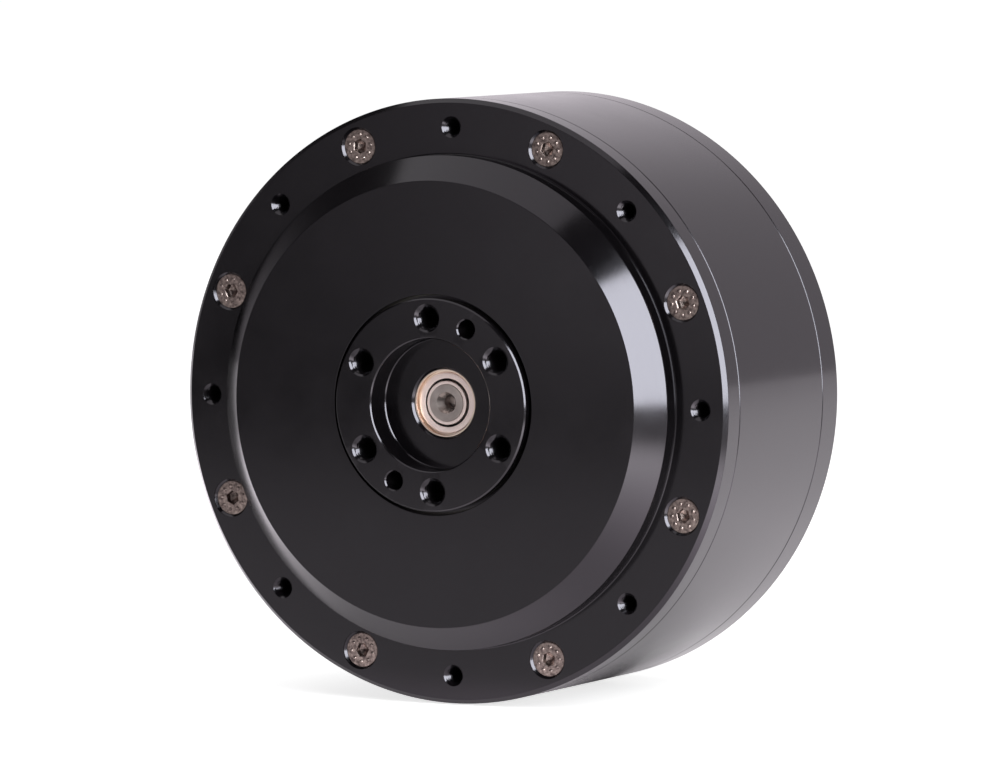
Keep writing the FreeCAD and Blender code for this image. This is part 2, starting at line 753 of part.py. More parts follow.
def end_plate_screws():
    """Flat head screws of the gearbox end plate."""
    length = 2 * END_PLATE
    return Part.makeCompound([
        countersunk_screw(place, M2_HEAD_RADIUS, M2_RADIUS, length, FRONTWARD)
        for place in end_screw_places(end_plate_rear)
    ])


def middle_sun():
    """Carrier of the input stage, with the output stage's sun on a stub that runs in the flange."""
    stub_end = pilot_front - SHAFT_STUB_PROUD
    shoulder = PILOT_BEARING_BORE + PILOT_INNER_RING
    teeth_front = disc_rear + STAGE_GAP / 2
    teeth_rear = output_gear_rear + STAGE_GAP / 2
    seat = input_disc_rear - SUN_BEARING_WIDTH - THREAD_PLAY
    root = sun_pitch - dedendum
    body = turned([
        (0, stub_end),
        (PILOT_BEARING_BORE, stub_end),
        (PILOT_BEARING_BORE, pilot_rear),
        (shoulder, pilot_rear),
        (shoulder, teeth_front),
        (root, teeth_front),
        (root, teeth_rear),
        (SHAFT_NECK, teeth_rear),
        (SHAFT_NECK, input_disc_front),
        (carrier_radius, input_disc_front),
        (carrier_radius, input_disc_rear),
        (SUN_BEARING_OUTER, input_disc_rear),
        (SUN_BEARING_OUTER, seat),
        (0, seat),
    ])
    body = joined([body, sun_gear(teeth_front, teeth_rear)])
    tip = FreeCAD.Vector(0, stub_end, 0)
    cone_depth = (LATHE_CONE_RADIUS - LATHE_CENTRE_RADIUS) * math.sqrt(3)
    cuts = [rod(place, INPUT_PIN_RADIUS, INPUT_DISC) for place in planet_places(input_disc_front)]
    cuts.append(rod(tip, LATHE_CENTRE_RADIUS, LATHE_CENTRE_DEPTH))
    cuts.append(cone(tip, LATHE_CONE_RADIUS, LATHE_CENTRE_RADIUS, cone_depth))
    return body.cut(cuts)


def pins(radius, front, rear):
    """The three pins that the planets of a stage turn on."""
    return Part.makeCompound([rod(place, radius, rear - front) for place in planet_places(front)])


# ---- motor

def rotor_shaft():
    """Rotor shaft with the input sun in front, the hub flange, and the journal of the rotor bearing."""
    pilot_front = input_disc_rear - SUN_BEARING_WIDTH
    teeth_front = input_disc_rear + STAGE_GAP / 2
    teeth_rear = input_gear_rear + STAGE_GAP / 2
    root = sun_pitch - dedendum
    tail_end = rotor_bearing_rear + SHAFT_TAIL
    magnet_seat = tail_end - ENCODER_MAGNET_LENGTH
    shoulder = ROTOR_BEARING_BORE + ROTOR_BEARING_RING
    shaft = turned([
        (0, pilot_front),
        (SUN_BEARING_BORE, pilot_front),
        (SUN_BEARING_BORE, teeth_front),
        (root, teeth_front),
        (root, teeth_rear),
        (SHAFT_NECK, teeth_rear),
        (SHAFT_NECK, bell_disc_front),
        (REGISTER_RADIUS, bell_disc_front),
        (REGISTER_RADIUS, bell_disc_rear),
        (HUB_RADIUS, bell_disc_rear),
        (HUB_RADIUS, hub_rear),
        (shoulder, hub_rear),
        (shoulder, rotor_bearing_front),
        (ROTOR_BEARING_BORE, rotor_bearing_front),
        (ROTOR_BEARING_BORE, tail_end),
        (ENCODER_MAGNET_RADIUS, tail_end),
        (ENCODER_MAGNET_RADIUS, magnet_seat),
        (0, magnet_seat),
    ])
    shaft = joined([shaft, sun_gear(teeth_front, teeth_rear)])
    holes = []
    for place in hub_screw_places(hub_rear):
        holes.append(
            countersunk_hole(place, M25_HEAD_RADIUS, M25_RADIUS, 0, HUB_THICKNESS, FRONTWARD)
        )
    return shaft.cut(holes)


def hub_screw_places(depth):
    """Centres of the screws between the rotor bell and the shaft's flange."""
    return [at(angle, HUB_SCREW_CIRCLE, depth) for angle in evenly(HUB_SCREW_COUNT, 0)]


def hub_screws():
    """Flat head screws from the shaft's flange into the bell."""
    length = HUB_THICKNESS + BELL_DISC
    return Part.makeCompound([
        countersunk_screw(place, M25_HEAD_RADIUS, M25_RADIUS, length, FRONTWARD)
        for place in hub_screw_places(hub_rear)
    ])


def rotor_bell():
    """Steel cup of the outrunner, open to the front, with windows in its disc."""
    bell = turned([
        (REGISTER_RADIUS, bell_disc_front),
        (bell_inner, bell_disc_front),
        (bell_inner, bell_front),
        (bell_outer, bell_front),
        (bell_outer, bell_disc_rear),
        (REGISTER_RADIUS, bell_disc_rear),
    ])
    cuts = [
        rod(at(angle, BELL_WINDOW_CIRCLE, bell_disc_front), BELL_WINDOW_RADIUS, BELL_DISC)
        for angle in evenly(BELL_WINDOW_COUNT, BELL_WINDOW_ANGLE)
    ]
    for place in hub_screw_places(bell_disc_front):
        cuts.append(rod(place, M25_RADIUS + THREAD_PLAY, BELL_DISC))
    return bell.cut(cuts)


def rotor_magnets():
    """Flat magnets glued round the inside of the bell, centred on the stator stack."""
    middle = (stack_front + stack_rear) / 2
    front = middle - MAGNET_LENGTH / 2
    rear = middle + MAGNET_LENGTH / 2
    corners = [
        (magnet_inner, -MAGNET_WIDTH / 2),
        (magnet_inner + MAGNET_THICKNESS, -MAGNET_WIDTH / 2),
        (magnet_inner + MAGNET_THICKNESS, MAGNET_WIDTH / 2),
        (magnet_inner, MAGNET_WIDTH / 2),
    ]
    magnet = prism(corners, front, rear)
    return Part.makeCompound([about_axis(magnet, angle) for angle in evenly(MAGNET_COUNT, 0)])


def stator_core():
    """Laminated core pressed on the ring gear: a yoke with a T-shaped tooth for each coil."""
    shoe = stator_radius - SHOE_HEIGHT
    points = []
    for angle in evenly(STATOR_TOOTH_COUNT, 0):
        profile = [
            (yoke_outer, -TOOTH_NECK / 2),
            (shoe, -TOOTH_NECK / 2),
            (stator_radius, -TOOTH_SHOE / 2),
            (stator_radius, TOOTH_SHOE / 2),
            (shoe, TOOTH_NECK / 2),
            (yoke_outer, TOOTH_NECK / 2),
        ]
        turn = math.radians(angle)
        for along, across in profile:
            reach = math.sqrt(along * along - across * across)
            x = reach * math.cos(turn) - across * math.sin(turn)
            z = reach * math.sin(turn) + across * math.cos(turn)
            points.append((x, z))
    core = prism(points, stack_front, stack_rear)
    return core.cut(rod(FreeCAD.Vector(0, stack_front, 0), ring_outer, STATOR_STACK))


def stator_coils():
    """One coil round each stator tooth, as a rectangular frame."""
    inner = yoke_outer + COIL_INSULATION * 2
    outer = stator_radius - SHOE_HEIGHT - COIL_INSULATION
    height = outer - inner
    hole = TOOTH_NECK + 2 * COIL_INSULATION
    width = hole + 2 * COIL_THICKNESS
    slim = 2 * math.pi * inner / STATOR_TOOTH_COUNT - 2 * COIL_INSULATION
    base_width = min(width, slim)
    head = coil_rear - stack_rear - COIL_INSULATION
    corners = [
        (inner, -base_width / 2),
        (outer, -width / 2),
        (outer, width / 2),
        (inner, base_width / 2),
    ]
    frame = prism(corners, coil_front, coil_rear)
    window = Part.makeBox(
        height,
        STATOR_STACK + 2 * COIL_INSULATION,
        hole,
        FreeCAD.Vector(inner, stack_front - COIL_INSULATION, -hole / 2),
    )
    coil = frame.cut(window)
    return Part.makeCompound([about_axis(coil, angle) for angle in evenly(STATOR_TOOTH_COUNT, 0)])


# ---- phase leads

def lead_frame(points, offset, width):
    """A flat strip in the plane of the lead angle, from corners of (radius, depth)."""
    corners = [FreeCAD.Vector(radius, depth, offset - width / 2) for radius, depth in points]
    face = Part.Face(Part.makePolygon(corners + corners[:1]))
    return about_axis(face.extrude(FreeCAD.Vector(0, 0, width)), LEAD_ANGLE)


def phase_leads():
    """Three flat leads: out past the bell's front edge, back along the wall, in to the board."""
    start = yoke_outer + LEAD_THICKNESS * 2
    front_run = housing_front + SPIGOT_LENGTH + LEAD_PLAY * 2
    wall_run = bell_outer + RUNNING_GAP
    rear_run = bell_disc_rear + HUB_THICKNESS + RUNNING_GAP
    end = start - LEAD_THICKNESS
    outline = [
        (start, coil_front),
        (start, front_run),
        (wall_run + LEAD_THICKNESS, front_run),
        (wall_run + LEAD_THICKNESS, rear_run + LEAD_THICKNESS),
        (end + LEAD_THICKNESS, rear_run + LEAD_THICKNESS),
        (end + LEAD_THICKNESS, board_front),
        (end, board_front),
        (end, rear_run),
        (wall_run, rear_run),
        (wall_run, front_run + LEAD_THICKNESS),
        (start + LEAD_THICKNESS, front_run + LEAD_THICKNESS),
        (start + LEAD_THICKNESS, coil_front),
    ]
    middle = (LEAD_COUNT - 1) / 2
    return Part.makeCompound(
        [lead_frame(outline, (i - middle) * LEAD_PITCH, LEAD_WIDTH) for i in range(LEAD_COUNT)]
    )


def lead_bundle_width():
    """Width across the three leads with play at each side."""
    return (LEAD_COUNT - 1) * LEAD_PITCH + LEAD_WIDTH + 2 * LEAD_PLAY


def lead_channel():
    """Channel in the housing wall and both threaded bands that the leads run in."""
    outer = bell_outer + RUNNING_GAP + LEAD_THICKNESS + LEAD_PLAY
    front = housing_front + SPIGOT_LENGTH + LEAD_PLAY
    rear = bell_disc_rear + HUB_THICKNESS + RUNNING_GAP + LEAD_THICKNESS + LEAD_PLAY
    inner = band_inner - LEAD_OVERCUT
    outline = [(inner, front), (outer, front), (outer, rear), (inner, rear)]
    return lead_frame(outline, 0, lead_bundle_width())


def lead_window():
    """Window in the rear cover's web where the leads reach the board."""
    start = yoke_outer + LEAD_THICKNESS
    inner = start - LEAD_PLAY
    outer = start + LEAD_THICKNESS + LEAD_PLAY
    outline = [(inner, housing_rear), (outer, housing_rear), (outer, web_rear), (inner, web_rear)]
    return lead_frame(outline, 0, lead_bundle_width())


# ---- driver electronics

def driver_board():
    """Round circuit board clamped between the posts and the cap's pillars."""
    board = rod(FreeCAD.Vector(0, board_front, 0), board_radius, BOARD_THICKNESS)
    holes = [rod(p, M25_RADIUS + SHANK_PLAY, BOARD_THICKNESS) for p in standoff_places(board_front)]
    return board.cut(holes)


def board_chips():
    """Switching transistors and controller behind the board, and the encoder chip in front of it."""
    middle = (SWITCH_COLUMNS - 1) / 2
    chips = [
        block(0, 0, CONTROLLER_SIDE, CONTROLLER_SIDE, board_rear, board_rear + CHIP_HEIGHT),
        block(0, 0, ENCODER_CHIP_SIDE, ENCODER_CHIP_SIDE, board_front - CHIP_HEIGHT, board_front),
    ]
    width, height = SWITCH_SIZE
    for column in range(SWITCH_COLUMNS):
        x = (column - middle) * SWITCH_SPACING
        for z in SWITCH_ROWS:
            chips.append(block(x, z, width, height, board_rear, board_rear + CHIP_HEIGHT))
    return Part.makeCompound(chips)


def board_capacitors():
    """Can capacitors that steady the supply."""
    middle = (CAPACITOR_COUNT - 1) / 2
    angles = [90.0 + (i - middle) * CAPACITOR_STEP for i in range(CAPACITOR_COUNT)]
    places = [at(angle, CAPACITOR_CIRCLE, board_rear) for angle in angles]
    return Part.makeCompound([rod(place, CAPACITOR_RADIUS, CAPACITOR_HEIGHT) for place in places])


def socket_places():
    """Centre and size of the power socket and of the two signal sockets."""
    return [
        (0.0, POWER_SOCKET_Z, POWER_SOCKET),
        (-SIGNAL_SOCKET_X, SIGNAL_SOCKET_Z, SIGNAL_SOCKET),
        (SIGNAL_SOCKET_X, SIGNAL_SOCKET_Z, SIGNAL_SOCKET),
    ]


def power_contact_places(depth):
    """Centres of the two round contacts."""
    reach = POWER_CONTACT_SPACING / 2
    return [FreeCAD.Vector(x, depth, POWER_SOCKET_Z) for x in (-reach, reach)]


def power_socket():
    """Moulded body of the power socket, with one cut corner edge that keys the plug."""
    width, height = POWER_SOCKET
    key = height / 3
    left = -width / 2
    right = width / 2
    top = POWER_SOCKET_Z + height / 2
    bottom = POWER_SOCKET_Z - height / 2
    corners = [
        (left, bottom),
        (right - key, bottom),
        (right, bottom + key),
        (right, top - key),
        (right - key, top),
        (left, top),
    ]
    body = prism(corners, board_rear, socket_face)
    holes = [
        rod(place, POWER_CONTACT_RADIUS, POWER_CONTACT_DEPTH, FRONTWARD)
        for place in power_contact_places(socket_face)
    ]
    return body.cut(holes)


def power_contacts():
    """Two plated tubes that take the plug's pins."""
    tubes = []
    for place in power_contact_places(socket_face):
        tube = rod(place, POWER_CONTACT_RADIUS, POWER_CONTACT_DEPTH, FRONTWARD)
        tubes.append(tube.cut(rod(place, POWER_CONTACT_BORE, POWER_CONTACT_DEPTH, FRONTWARD)))
    return Part.makeCompound(tubes)


def signal_sockets():
    """Two small wire-to-board sockets."""
    width, height = SIGNAL_SOCKET
    bodies = []
    for x, z, size in socket_places()[1:]:
        body = block(x, z, width, height, board_rear, socket_face)
        inside = (width - 2 * SIGNAL_WALL, height - 2 * SIGNAL_WALL)
        cavity = block(x, z, inside[0], inside[1], socket_face - SIGNAL_DEPTH, socket_face)
        bodies.append(body.cut(cavity))
    return Part.makeCompound(bodies)


def signal_pins():
    """Square pins of the signal sockets, standing on the cavity floor."""
    pitch = (SIGNAL_SOCKET[0] - 2 * SIGNAL_WALL) / SIGNAL_PIN_COUNT
    floor = socket_face - SIGNAL_DEPTH
    tip = socket_face - SIGNAL_WALL
    pins_made = []
    for x, z, size in socket_places()[1:]:
        for i in range(SIGNAL_PIN_COUNT):
            place = x + (i - (SIGNAL_PIN_COUNT - 1) / 2) * pitch
            pins_made.append(block(place, z, SIGNAL_PIN, SIGNAL_PIN, floor, tip))
    return Part.makeCompound(pins_made)


# ---- write every node

os.makedirs("parts", exist_ok=True)

save("front_cover", front_cover())
save("front_cover_screws", rim_screws(0, REARWARD))
save("housing", housing())
save("rear_cover", rear_cover())
save("rear_cover_screws", rim_screws(case_length, FRONTWARD))
save("driver_cap", driver_cap())
save("driver_cap_screws", cap_screws())

save("output_flange", output_flange())
save("carrier_plate", carrier_plate())
save("carrier_plate_screws", carrier_screws())
outer_race = output_bearing_radius - OUTPUT_BEARING_RING
inner_race = journal_radius + OUTPUT_BEARING_RING
save("output_bearing_outer_ring",
     ring(outer_race, output_bearing_radius, bearing_front, bearing_rear))
save("output_bearing_inner_ring", ring(journal_radius, inner_race, bearing_front, bearing_rear))
save("output_bearing_shields",
     shields(inner_race + SHIELD_PLAY, outer_race, bearing_front, bearing_rear))

pilot_race = PILOT_BEARING_OUTER - PILOT_OUTER_RING
pilot_hub = PILOT_BEARING_BORE + PILOT_INNER_RING
sleeve_front = pilot_front - SLEEVE_PROUD
save("pilot_bearing_sleeve",
     ring(PILOT_BEARING_OUTER, PILOT_BEARING_OUTER + SLEEVE_WALL, sleeve_front, pilot_rear))
save("pilot_bearing_outer_ring", pilot_outer_ring())
save("pilot_bearing_inner_ring",
     ring(PILOT_BEARING_BORE, pilot_hub, pilot_front - PILOT_INNER_PROUD, pilot_rear))
save("pilot_bearing_shields", shields(pilot_hub + SHIELD_PLAY, pilot_race, pilot_front, pilot_rear))

save("ring_gear", ring_gear())
save("ring_gear_screws", ring_gear_screws())
save("gearbox_end_plate", gearbox_end_plate())
save("gearbox_end_plate_screws", end_plate_screws())
for number, planet_angle in enumerate(evenly(PLANETS, PLANET_ANGLE), 1):
    planet = planet_gear(planet_angle, output_gear_front, output_gear_rear, OUTPUT_PIN_RADIUS)
    save("output_planet_" + str(number), planet)
    planet = planet_gear(planet_angle, input_gear_front, input_gear_rear, INPUT_PIN_RADIUS)
    save("input_planet_" + str(number), planet)
save("output_planet_pins", pins(OUTPUT_PIN_RADIUS, disc_rear - OUTPUT_PIN_SEAT, plate_rear))
save("middle_sun_and_carrier", middle_sun())
save("input_planet_pins", pins(INPUT_PIN_RADIUS, input_disc_front, input_gear_rear))
sun_bearing_front = input_disc_rear - SUN_BEARING_WIDTH
sun_race = SUN_BEARING_OUTER - SUN_BEARING_RING
sun_hub = SUN_BEARING_BORE + SUN_BEARING_RING - SHIELD_PLAY
save("sun_bearing_outer_ring",
     ring(sun_race, SUN_BEARING_OUTER, sun_bearing_front, input_disc_rear))
save("sun_bearing_inner_ring", ring(SUN_BEARING_BORE, sun_hub, sun_bearing_front, input_disc_rear))

save("rotor_shaft", rotor_shaft())
save("rotor_hub_screws", hub_screws())
save("rotor_bell", rotor_bell())
save("rotor_magnets", rotor_magnets())
rotor_race = ROTOR_BEARING_OUTER - ROTOR_BEARING_RING
rotor_hub = ROTOR_BEARING_BORE + ROTOR_BEARING_RING
save("rotor_bearing_outer_ring",
     ring(rotor_race, ROTOR_BEARING_OUTER, rotor_bearing_front, rotor_bearing_rear))
save("rotor_bearing_inner_ring",
     ring(ROTOR_BEARING_BORE, rotor_hub, rotor_bearing_front, rotor_bearing_rear))
save("rotor_bearing_shields",
     shields(rotor_hub + SHIELD_PLAY, rotor_race, rotor_bearing_front, rotor_bearing_rear))
encoder_front = rotor_bearing_rear + SHAFT_TAIL - ENCODER_MAGNET_LENGTH
save("encoder_magnet",
     rod(FreeCAD.Vector(0, encoder_front, 0), ENCODER_MAGNET_RADIUS, ENCODER_MAGNET_LENGTH))
save("stator_core", stator_core())
save("stator_coils", stator_coils())
save("phase_leads", phase_leads())

save("driver_board", driver_board())
save("board_chips", board_chips())
save("board_capacitors", board_capacitors())
save("power_socket", power_socket())
save("power_contacts", power_contacts())
save("signal_sockets", signal_sockets())
save("signal_pins", signal_pins())
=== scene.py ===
import math

import bmesh
import bpy
from mathutils import Matrix, Vector


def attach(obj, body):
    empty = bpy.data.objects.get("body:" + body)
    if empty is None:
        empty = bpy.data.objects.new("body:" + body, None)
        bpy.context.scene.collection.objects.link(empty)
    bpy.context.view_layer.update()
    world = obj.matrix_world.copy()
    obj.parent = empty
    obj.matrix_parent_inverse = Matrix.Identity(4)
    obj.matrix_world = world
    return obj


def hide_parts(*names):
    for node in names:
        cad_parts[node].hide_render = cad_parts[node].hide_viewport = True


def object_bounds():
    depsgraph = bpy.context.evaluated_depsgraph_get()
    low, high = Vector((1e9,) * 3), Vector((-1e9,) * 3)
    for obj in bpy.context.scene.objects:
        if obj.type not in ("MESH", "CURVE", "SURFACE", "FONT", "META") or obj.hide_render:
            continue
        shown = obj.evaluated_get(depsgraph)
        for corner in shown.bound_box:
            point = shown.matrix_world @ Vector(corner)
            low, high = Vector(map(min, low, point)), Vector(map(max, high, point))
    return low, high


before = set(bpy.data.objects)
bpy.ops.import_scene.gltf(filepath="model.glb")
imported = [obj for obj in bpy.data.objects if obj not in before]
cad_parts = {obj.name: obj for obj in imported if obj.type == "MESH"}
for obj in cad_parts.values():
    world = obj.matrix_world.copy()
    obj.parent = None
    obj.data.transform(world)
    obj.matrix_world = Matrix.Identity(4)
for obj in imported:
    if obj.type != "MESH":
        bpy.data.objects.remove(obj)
cad_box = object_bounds()


# ---- camera, floor and studio light
# A long lens stands to the right of the output face and a little above it. The actuator lies on a
# white table in a white room, with one tall soft window at its right and a soft ceiling above.

camera_turn = math.radians(27.065)
camera_rise = math.radians(4.034)
camera_roll = math.radians(-0.188)
camera_distance = 1.18189
camera_aside = 0.007702
camera_lift = 0.001944

backward = Vector((
    math.sin(camera_turn) * math.cos(camera_rise),
    -math.cos(camera_turn) * math.cos(camera_rise),
    math.sin(camera_rise),
))
level = Vector((0, 0, 1)).cross(backward).normalized()
upright = backward.cross(level)
rightward = level * math.cos(camera_roll) + upright * math.sin(camera_roll)
upward = upright * math.cos(camera_roll) - level * math.sin(camera_roll)

lens = bpy.data.cameras.new("camera")
lens.sensor_width = 36.0
lens.lens = 263.54
camera = bpy.data.objects.new("camera", lens)
bpy.context.scene.collection.objects.link(camera)
camera_place = backward * camera_distance + rightward * camera_aside + upward * camera_lift
camera_axes = Matrix((rightward, upward, backward)).transposed().to_4x4()
camera.matrix_world = Matrix.Translation(camera_place) @ camera_axes
bpy.context.scene.camera = camera
bpy.context.scene.view_settings.view_transform = "Standard"


def colour(code):
    """Linear colour of an sRGB hex code."""
    parts = [int(code[i:i + 2], 16) / 255 for i in (1, 3, 5)]
    linear = [c / 12.92 if c <= 0.04045 else ((c + 0.055) / 1.055) ** 2.4 for c in parts]
    return (*linear, 1.0)


def add_node(tree, kind, settings=None, links=None):
    """One node with its options and socket values set, and its sockets linked from other nodes."""
    node = tree.nodes.new(kind)
    for key, value in (settings or {}).items():
        if isinstance(key, int) or key in node.inputs:
            node.inputs[key].default_value = value
        else:
            setattr(node, key, value)
    for key, source in (links or {}).items():
        tree.links.new(source, node.inputs[key])
    return node


def soft_box(name, turn, rise, distance, width, height, matt_light, gloss, tint="#ffffff"):
    """A rectangular lamp that faces the actuator. Brightness 1 is as bright as white paper. Matt
    surfaces get a softened share of it, and only reflections see its full brightness and tint."""
    turn = math.radians(turn)
    rise = math.radians(rise)
    way = Vector((math.sin(turn) * math.cos(rise), -math.cos(turn) * math.cos(rise), math.sin(rise)))
    for kind, brightness, away in (("matt", matt_light, distance * 1.02), ("gloss", gloss, distance)):
        place = way * away
        lamp = bpy.data.lights.new(name + "_" + kind, "AREA")
        lamp.shape = "RECTANGLE"
        lamp.size = width
        lamp.size_y = height
        lamp.energy = brightness * math.pi * width * height
        if kind == "gloss":
            lamp.color = colour(tint)[:3]
        lamp_object = bpy.data.objects.new(name + "_" + kind, lamp)
        lamp_object.location = place
        lamp_object.rotation_euler = place.to_track_quat("Z", "Y").to_euler()
        lamp_object.visible_camera = False
        lamp_object.visible_glossy = kind == "gloss"
        lamp_object.visible_diffuse = kind == "matt"
        bpy.context.scene.collection.objects.link(lamp_object)


soft_box("window_light", 62, 19.5, 1.0, 0.52, 0.80, 6.5, 17.5, "#f3fcff")
soft_box("ceiling_light", -48, 76, 1.0, 1.0, 1.0, 1.05, 1.15)

# Rays that reach the room unreflected see plain white. Reflections see a wall of faint lilac white
# behind the actuator, brighter at the left, and a dim room in front of it. Matt surfaces get even
# grey light.
room = bpy.data.worlds.new("room")
bpy.context.scene.world = room
room.use_nodes = True
room.node_tree.nodes.clear()
sight = add_node(room.node_tree, "ShaderNodeTexCoord")
way = add_node(room.node_tree, "ShaderNodeSeparateXYZ", {}, {"Vector": sight.outputs["Generated"]})
wall_white = add_node(
    room.node_tree, "ShaderNodeMapRange",
    {"From Min": -0.3, "From Max": 0.15, "To Min": 0.88, "To Max": 0.66, "interpolation_type": "SMOOTHSTEP"},
    {"Value": way.outputs["X"]},
)
wall = add_node(
    room.node_tree, "ShaderNodeMapRange",
    {"From Min": 0.2, "From Max": 0.75, "To Min": 0.0, "interpolation_type": "SMOOTHSTEP"},
    {"Value": way.outputs["Y"], "To Max": wall_white.outputs["Result"]},
)
front_way = add_node(
    room.node_tree, "ShaderNodeVectorMath",
    {"operation": "DOT_PRODUCT", 1: (-0.40, -0.90, -0.15)}, {0: sight.outputs["Generated"]},
)
left_way = add_node(
    room.node_tree, "ShaderNodeMath", {"operation": "DIVIDE"}, {0: way.outputs["X"], 1: way.outputs["Y"]},
)
front_white = add_node(
    room.node_tree, "ShaderNodeMapRange",
    {"From Min": 0.47, "From Max": 0.57, "To Min": 0.75, "To Max": 0.2, "interpolation_type": "SMOOTHSTEP"},
    {"Value": left_way.outputs["Value"]},
)
front_room = add_node(
    room.node_tree, "ShaderNodeMapRange",
    {"From Min": 0.78, "From Max": 1.0, "To Min": 0.03, "interpolation_type": "SMOOTHSTEP"},
    {"Value": front_way.outputs["Value"], "To Max": front_white.outputs["Result"]},
)
reflected = add_node(
    room.node_tree, "ShaderNodeMath", {"operation": "ADD"},
    {0: wall.outputs["Result"], 1: front_room.outputs["Result"]},
)
path = add_node(room.node_tree, "ShaderNodeLightPath")
level_light = add_node(
    room.node_tree, "ShaderNodeMix", {"data_type": "FLOAT", "A": 0.36},
    {"Factor": path.outputs["Is Glossy Ray"], "B": reflected.outputs["Value"]},
)
seen = add_node(
    room.node_tree, "ShaderNodeMath", {"operation": "MAXIMUM"},
    {0: path.outputs["Is Camera Ray"], 1: path.outputs["Is Transmission Ray"]},
)
strength = add_node(
    room.node_tree, "ShaderNodeMix", {"data_type": "FLOAT", "B": 1.0},
    {"Factor": seen.outputs["Value"], "A": level_light.outputs["Result"]},
)
room_tint = add_node(
    room.node_tree, "ShaderNodeMix", {"data_type": "RGBA", 6: colour("#ffffff"), 7: colour("#fff7ff")},
    {"Factor": path.outputs["Is Glossy Ray"]},
)
background = add_node(
    room.node_tree, "ShaderNodeBackground", {},
    {"Strength": strength.outputs["Result"], "Color": room_tint.outputs[2]},
)
add_node(room.node_tree, "ShaderNodeOutputWorld", {}, {"Surface": background.outputs["Background"]})

# The table is matt white laminate. It glows a little to the eye, so that it runs into the white
# room, and its matt part still takes the actuator's shadow. Reflections see painted light on it: a
# glow that is bright behind the actuator and dimmer in front, darkest at the left and along a strip,
# so that the black faces stay black with a slow change of tone across them, and painted shade close
# under the actuator. Painted gleams stand in for the window at the right, a lamp out of sight at the
# left, and the ceiling right below the front edge.
table_paint = bpy.data.materials.new("white_table_laminate")
table_paint.use_nodes = True
table_tree = table_paint.node_tree
table_tree.nodes.clear()
table_path = add_node(table_tree, "ShaderNodeLightPath")
table_spot = add_node(table_tree, "ShaderNodeNewGeometry")
table_split = add_node(table_tree, "ShaderNodeSeparateXYZ", {}, {"Vector": table_spot.outputs["Position"]})
behind = add_node(
    table_tree, "ShaderNodeMapRange",
    {"From Min": -0.045, "From Max": -0.005, "interpolation_type": "SMOOTHSTEP"},
    {"Value": table_split.outputs["Y"]},
)
across = add_node(
    table_tree, "ShaderNodeMath", {"operation": "DIVIDE"},
    {0: table_split.outputs["X"], 1: table_split.outputs["Y"]},
)
far_off = add_node(
    table_tree, "ShaderNodeMapRange",
    {"From Min": -0.36, "From Max": -0.56, "To Min": 0.0, "To Max": 0.75, "interpolation_type": "SMOOTHSTEP"},
    {"Value": table_split.outputs["Y"]},
)
across_shift = add_node(
    table_tree, "ShaderNodeMath", {"operation": "SUBTRACT", 1: 0.68}, {0: across.outputs["Value"]},
)
across_off = add_node(
    table_tree, "ShaderNodeMath", {"operation": "ABSOLUTE"}, {0: across_shift.outputs["Value"]},
)
dark_left = add_node(
    table_tree, "ShaderNodeMapRange",
    {"From Min": 0.21, "From Max": 0.11, "To Min": 0.0, "interpolation_type": "SMOOTHSTEP"},
    {"Value": across_off.outputs["Value"], "To Max": far_off.outputs["Result"]},
)
strip_way = add_node(
    table_tree, "ShaderNodeMath", {"operation": "ADD", 1: 0.57}, {0: table_split.outputs["Y"]},
)
strip_side = add_node(
    table_tree, "ShaderNodeMath", {"operation": "ABSOLUTE"}, {0: strip_way.outputs["Value"]},
)
strip = add_node(
    table_tree, "ShaderNodeMapRange",
    {"From Min": 0.0, "From Max": 0.22, "To Min": 0.0, "To Max": 0.87, "interpolation_type": "SMOOTHSTEP"},
    {"Value": strip_side.outputs["Value"]},
)
far_left = add_node(
    table_tree, "ShaderNodeMapRange",
    {"From Min": 0.8, "From Max": 1.2, "To Min": 1.0, "To Max": 1.35, "interpolation_type": "SMOOTHSTEP"},
    {"Value": across.outputs["Value"]},
)
lit_share = add_node(
    table_tree, "ShaderNodeMath", {"operation": "SUBTRACT"},
    {0: far_left.outputs["Result"], 1: dark_left.outputs["Result"]},
)
in_front = add_node(
    table_tree, "ShaderNodeMath",
    {"operation": "MULTIPLY"}, {0: lit_share.outputs["Value"], 1: strip.outputs["Result"]},
)
# Ambient occlusion drives painted shade: close under the actuator it dims the glow that reflections see, a
# painted contact shadow.
painted_shade_occlusion = add_node(table_tree, "ShaderNodeAmbientOcclusion", {"Distance": 0.06})
mirrored = add_node(
    table_tree, "ShaderNodeMix", {"data_type": "FLOAT"},
    {"Factor": behind.outputs["Result"], "A": in_front.outputs["Value"], "B": painted_shade_occlusion.outputs["AO"]},
)
# Painted gleams: glowing patches, seen only in reflections, that stand in for the window, a lamp out of sight
# at the left, and the ceiling.
window_gleam = ((0.125, -0.06), 0.11, 4.6)
left_gleam = ((-0.18, 0.08), 0.17, 2.5)
edge_gleam = ((0.012, -0.003), 0.045, 0.5)
mirrored_light = mirrored.outputs["Result"]
for centre, reach, brightness in (window_gleam, left_gleam, edge_gleam):
    gleam_way = add_node(
        table_tree, "ShaderNodeVectorMath", {"operation": "DISTANCE", 1: (*centre, cad_box[0][2])},
        {0: table_spot.outputs["Position"]},
    )
    gleam = add_node(
        table_tree, "ShaderNodeMapRange",
        {
            "From Min": 0.0, "From Max": reach, "To Min": brightness, "To Max": 0.0,
            "interpolation_type": "SMOOTHSTEP",
        },
        {"Value": gleam_way.outputs["Value"]},
    )
    brighter = add_node(
        table_tree, "ShaderNodeMath", {"operation": "ADD"}, {0: mirrored_light, 1: gleam.outputs["Result"]},
    )
    mirrored_light = brighter.outputs["Value"]
direct = add_node(
    table_tree, "ShaderNodeMath", {"operation": "MAXIMUM"},
    {0: table_path.outputs["Is Camera Ray"], 1: table_path.outputs["Is Transmission Ray"]},
)
seen_glow = add_node(
    table_tree, "ShaderNodeMath", {"operation": "MULTIPLY", 1: 0.74}, {0: direct.outputs["Value"]},
)
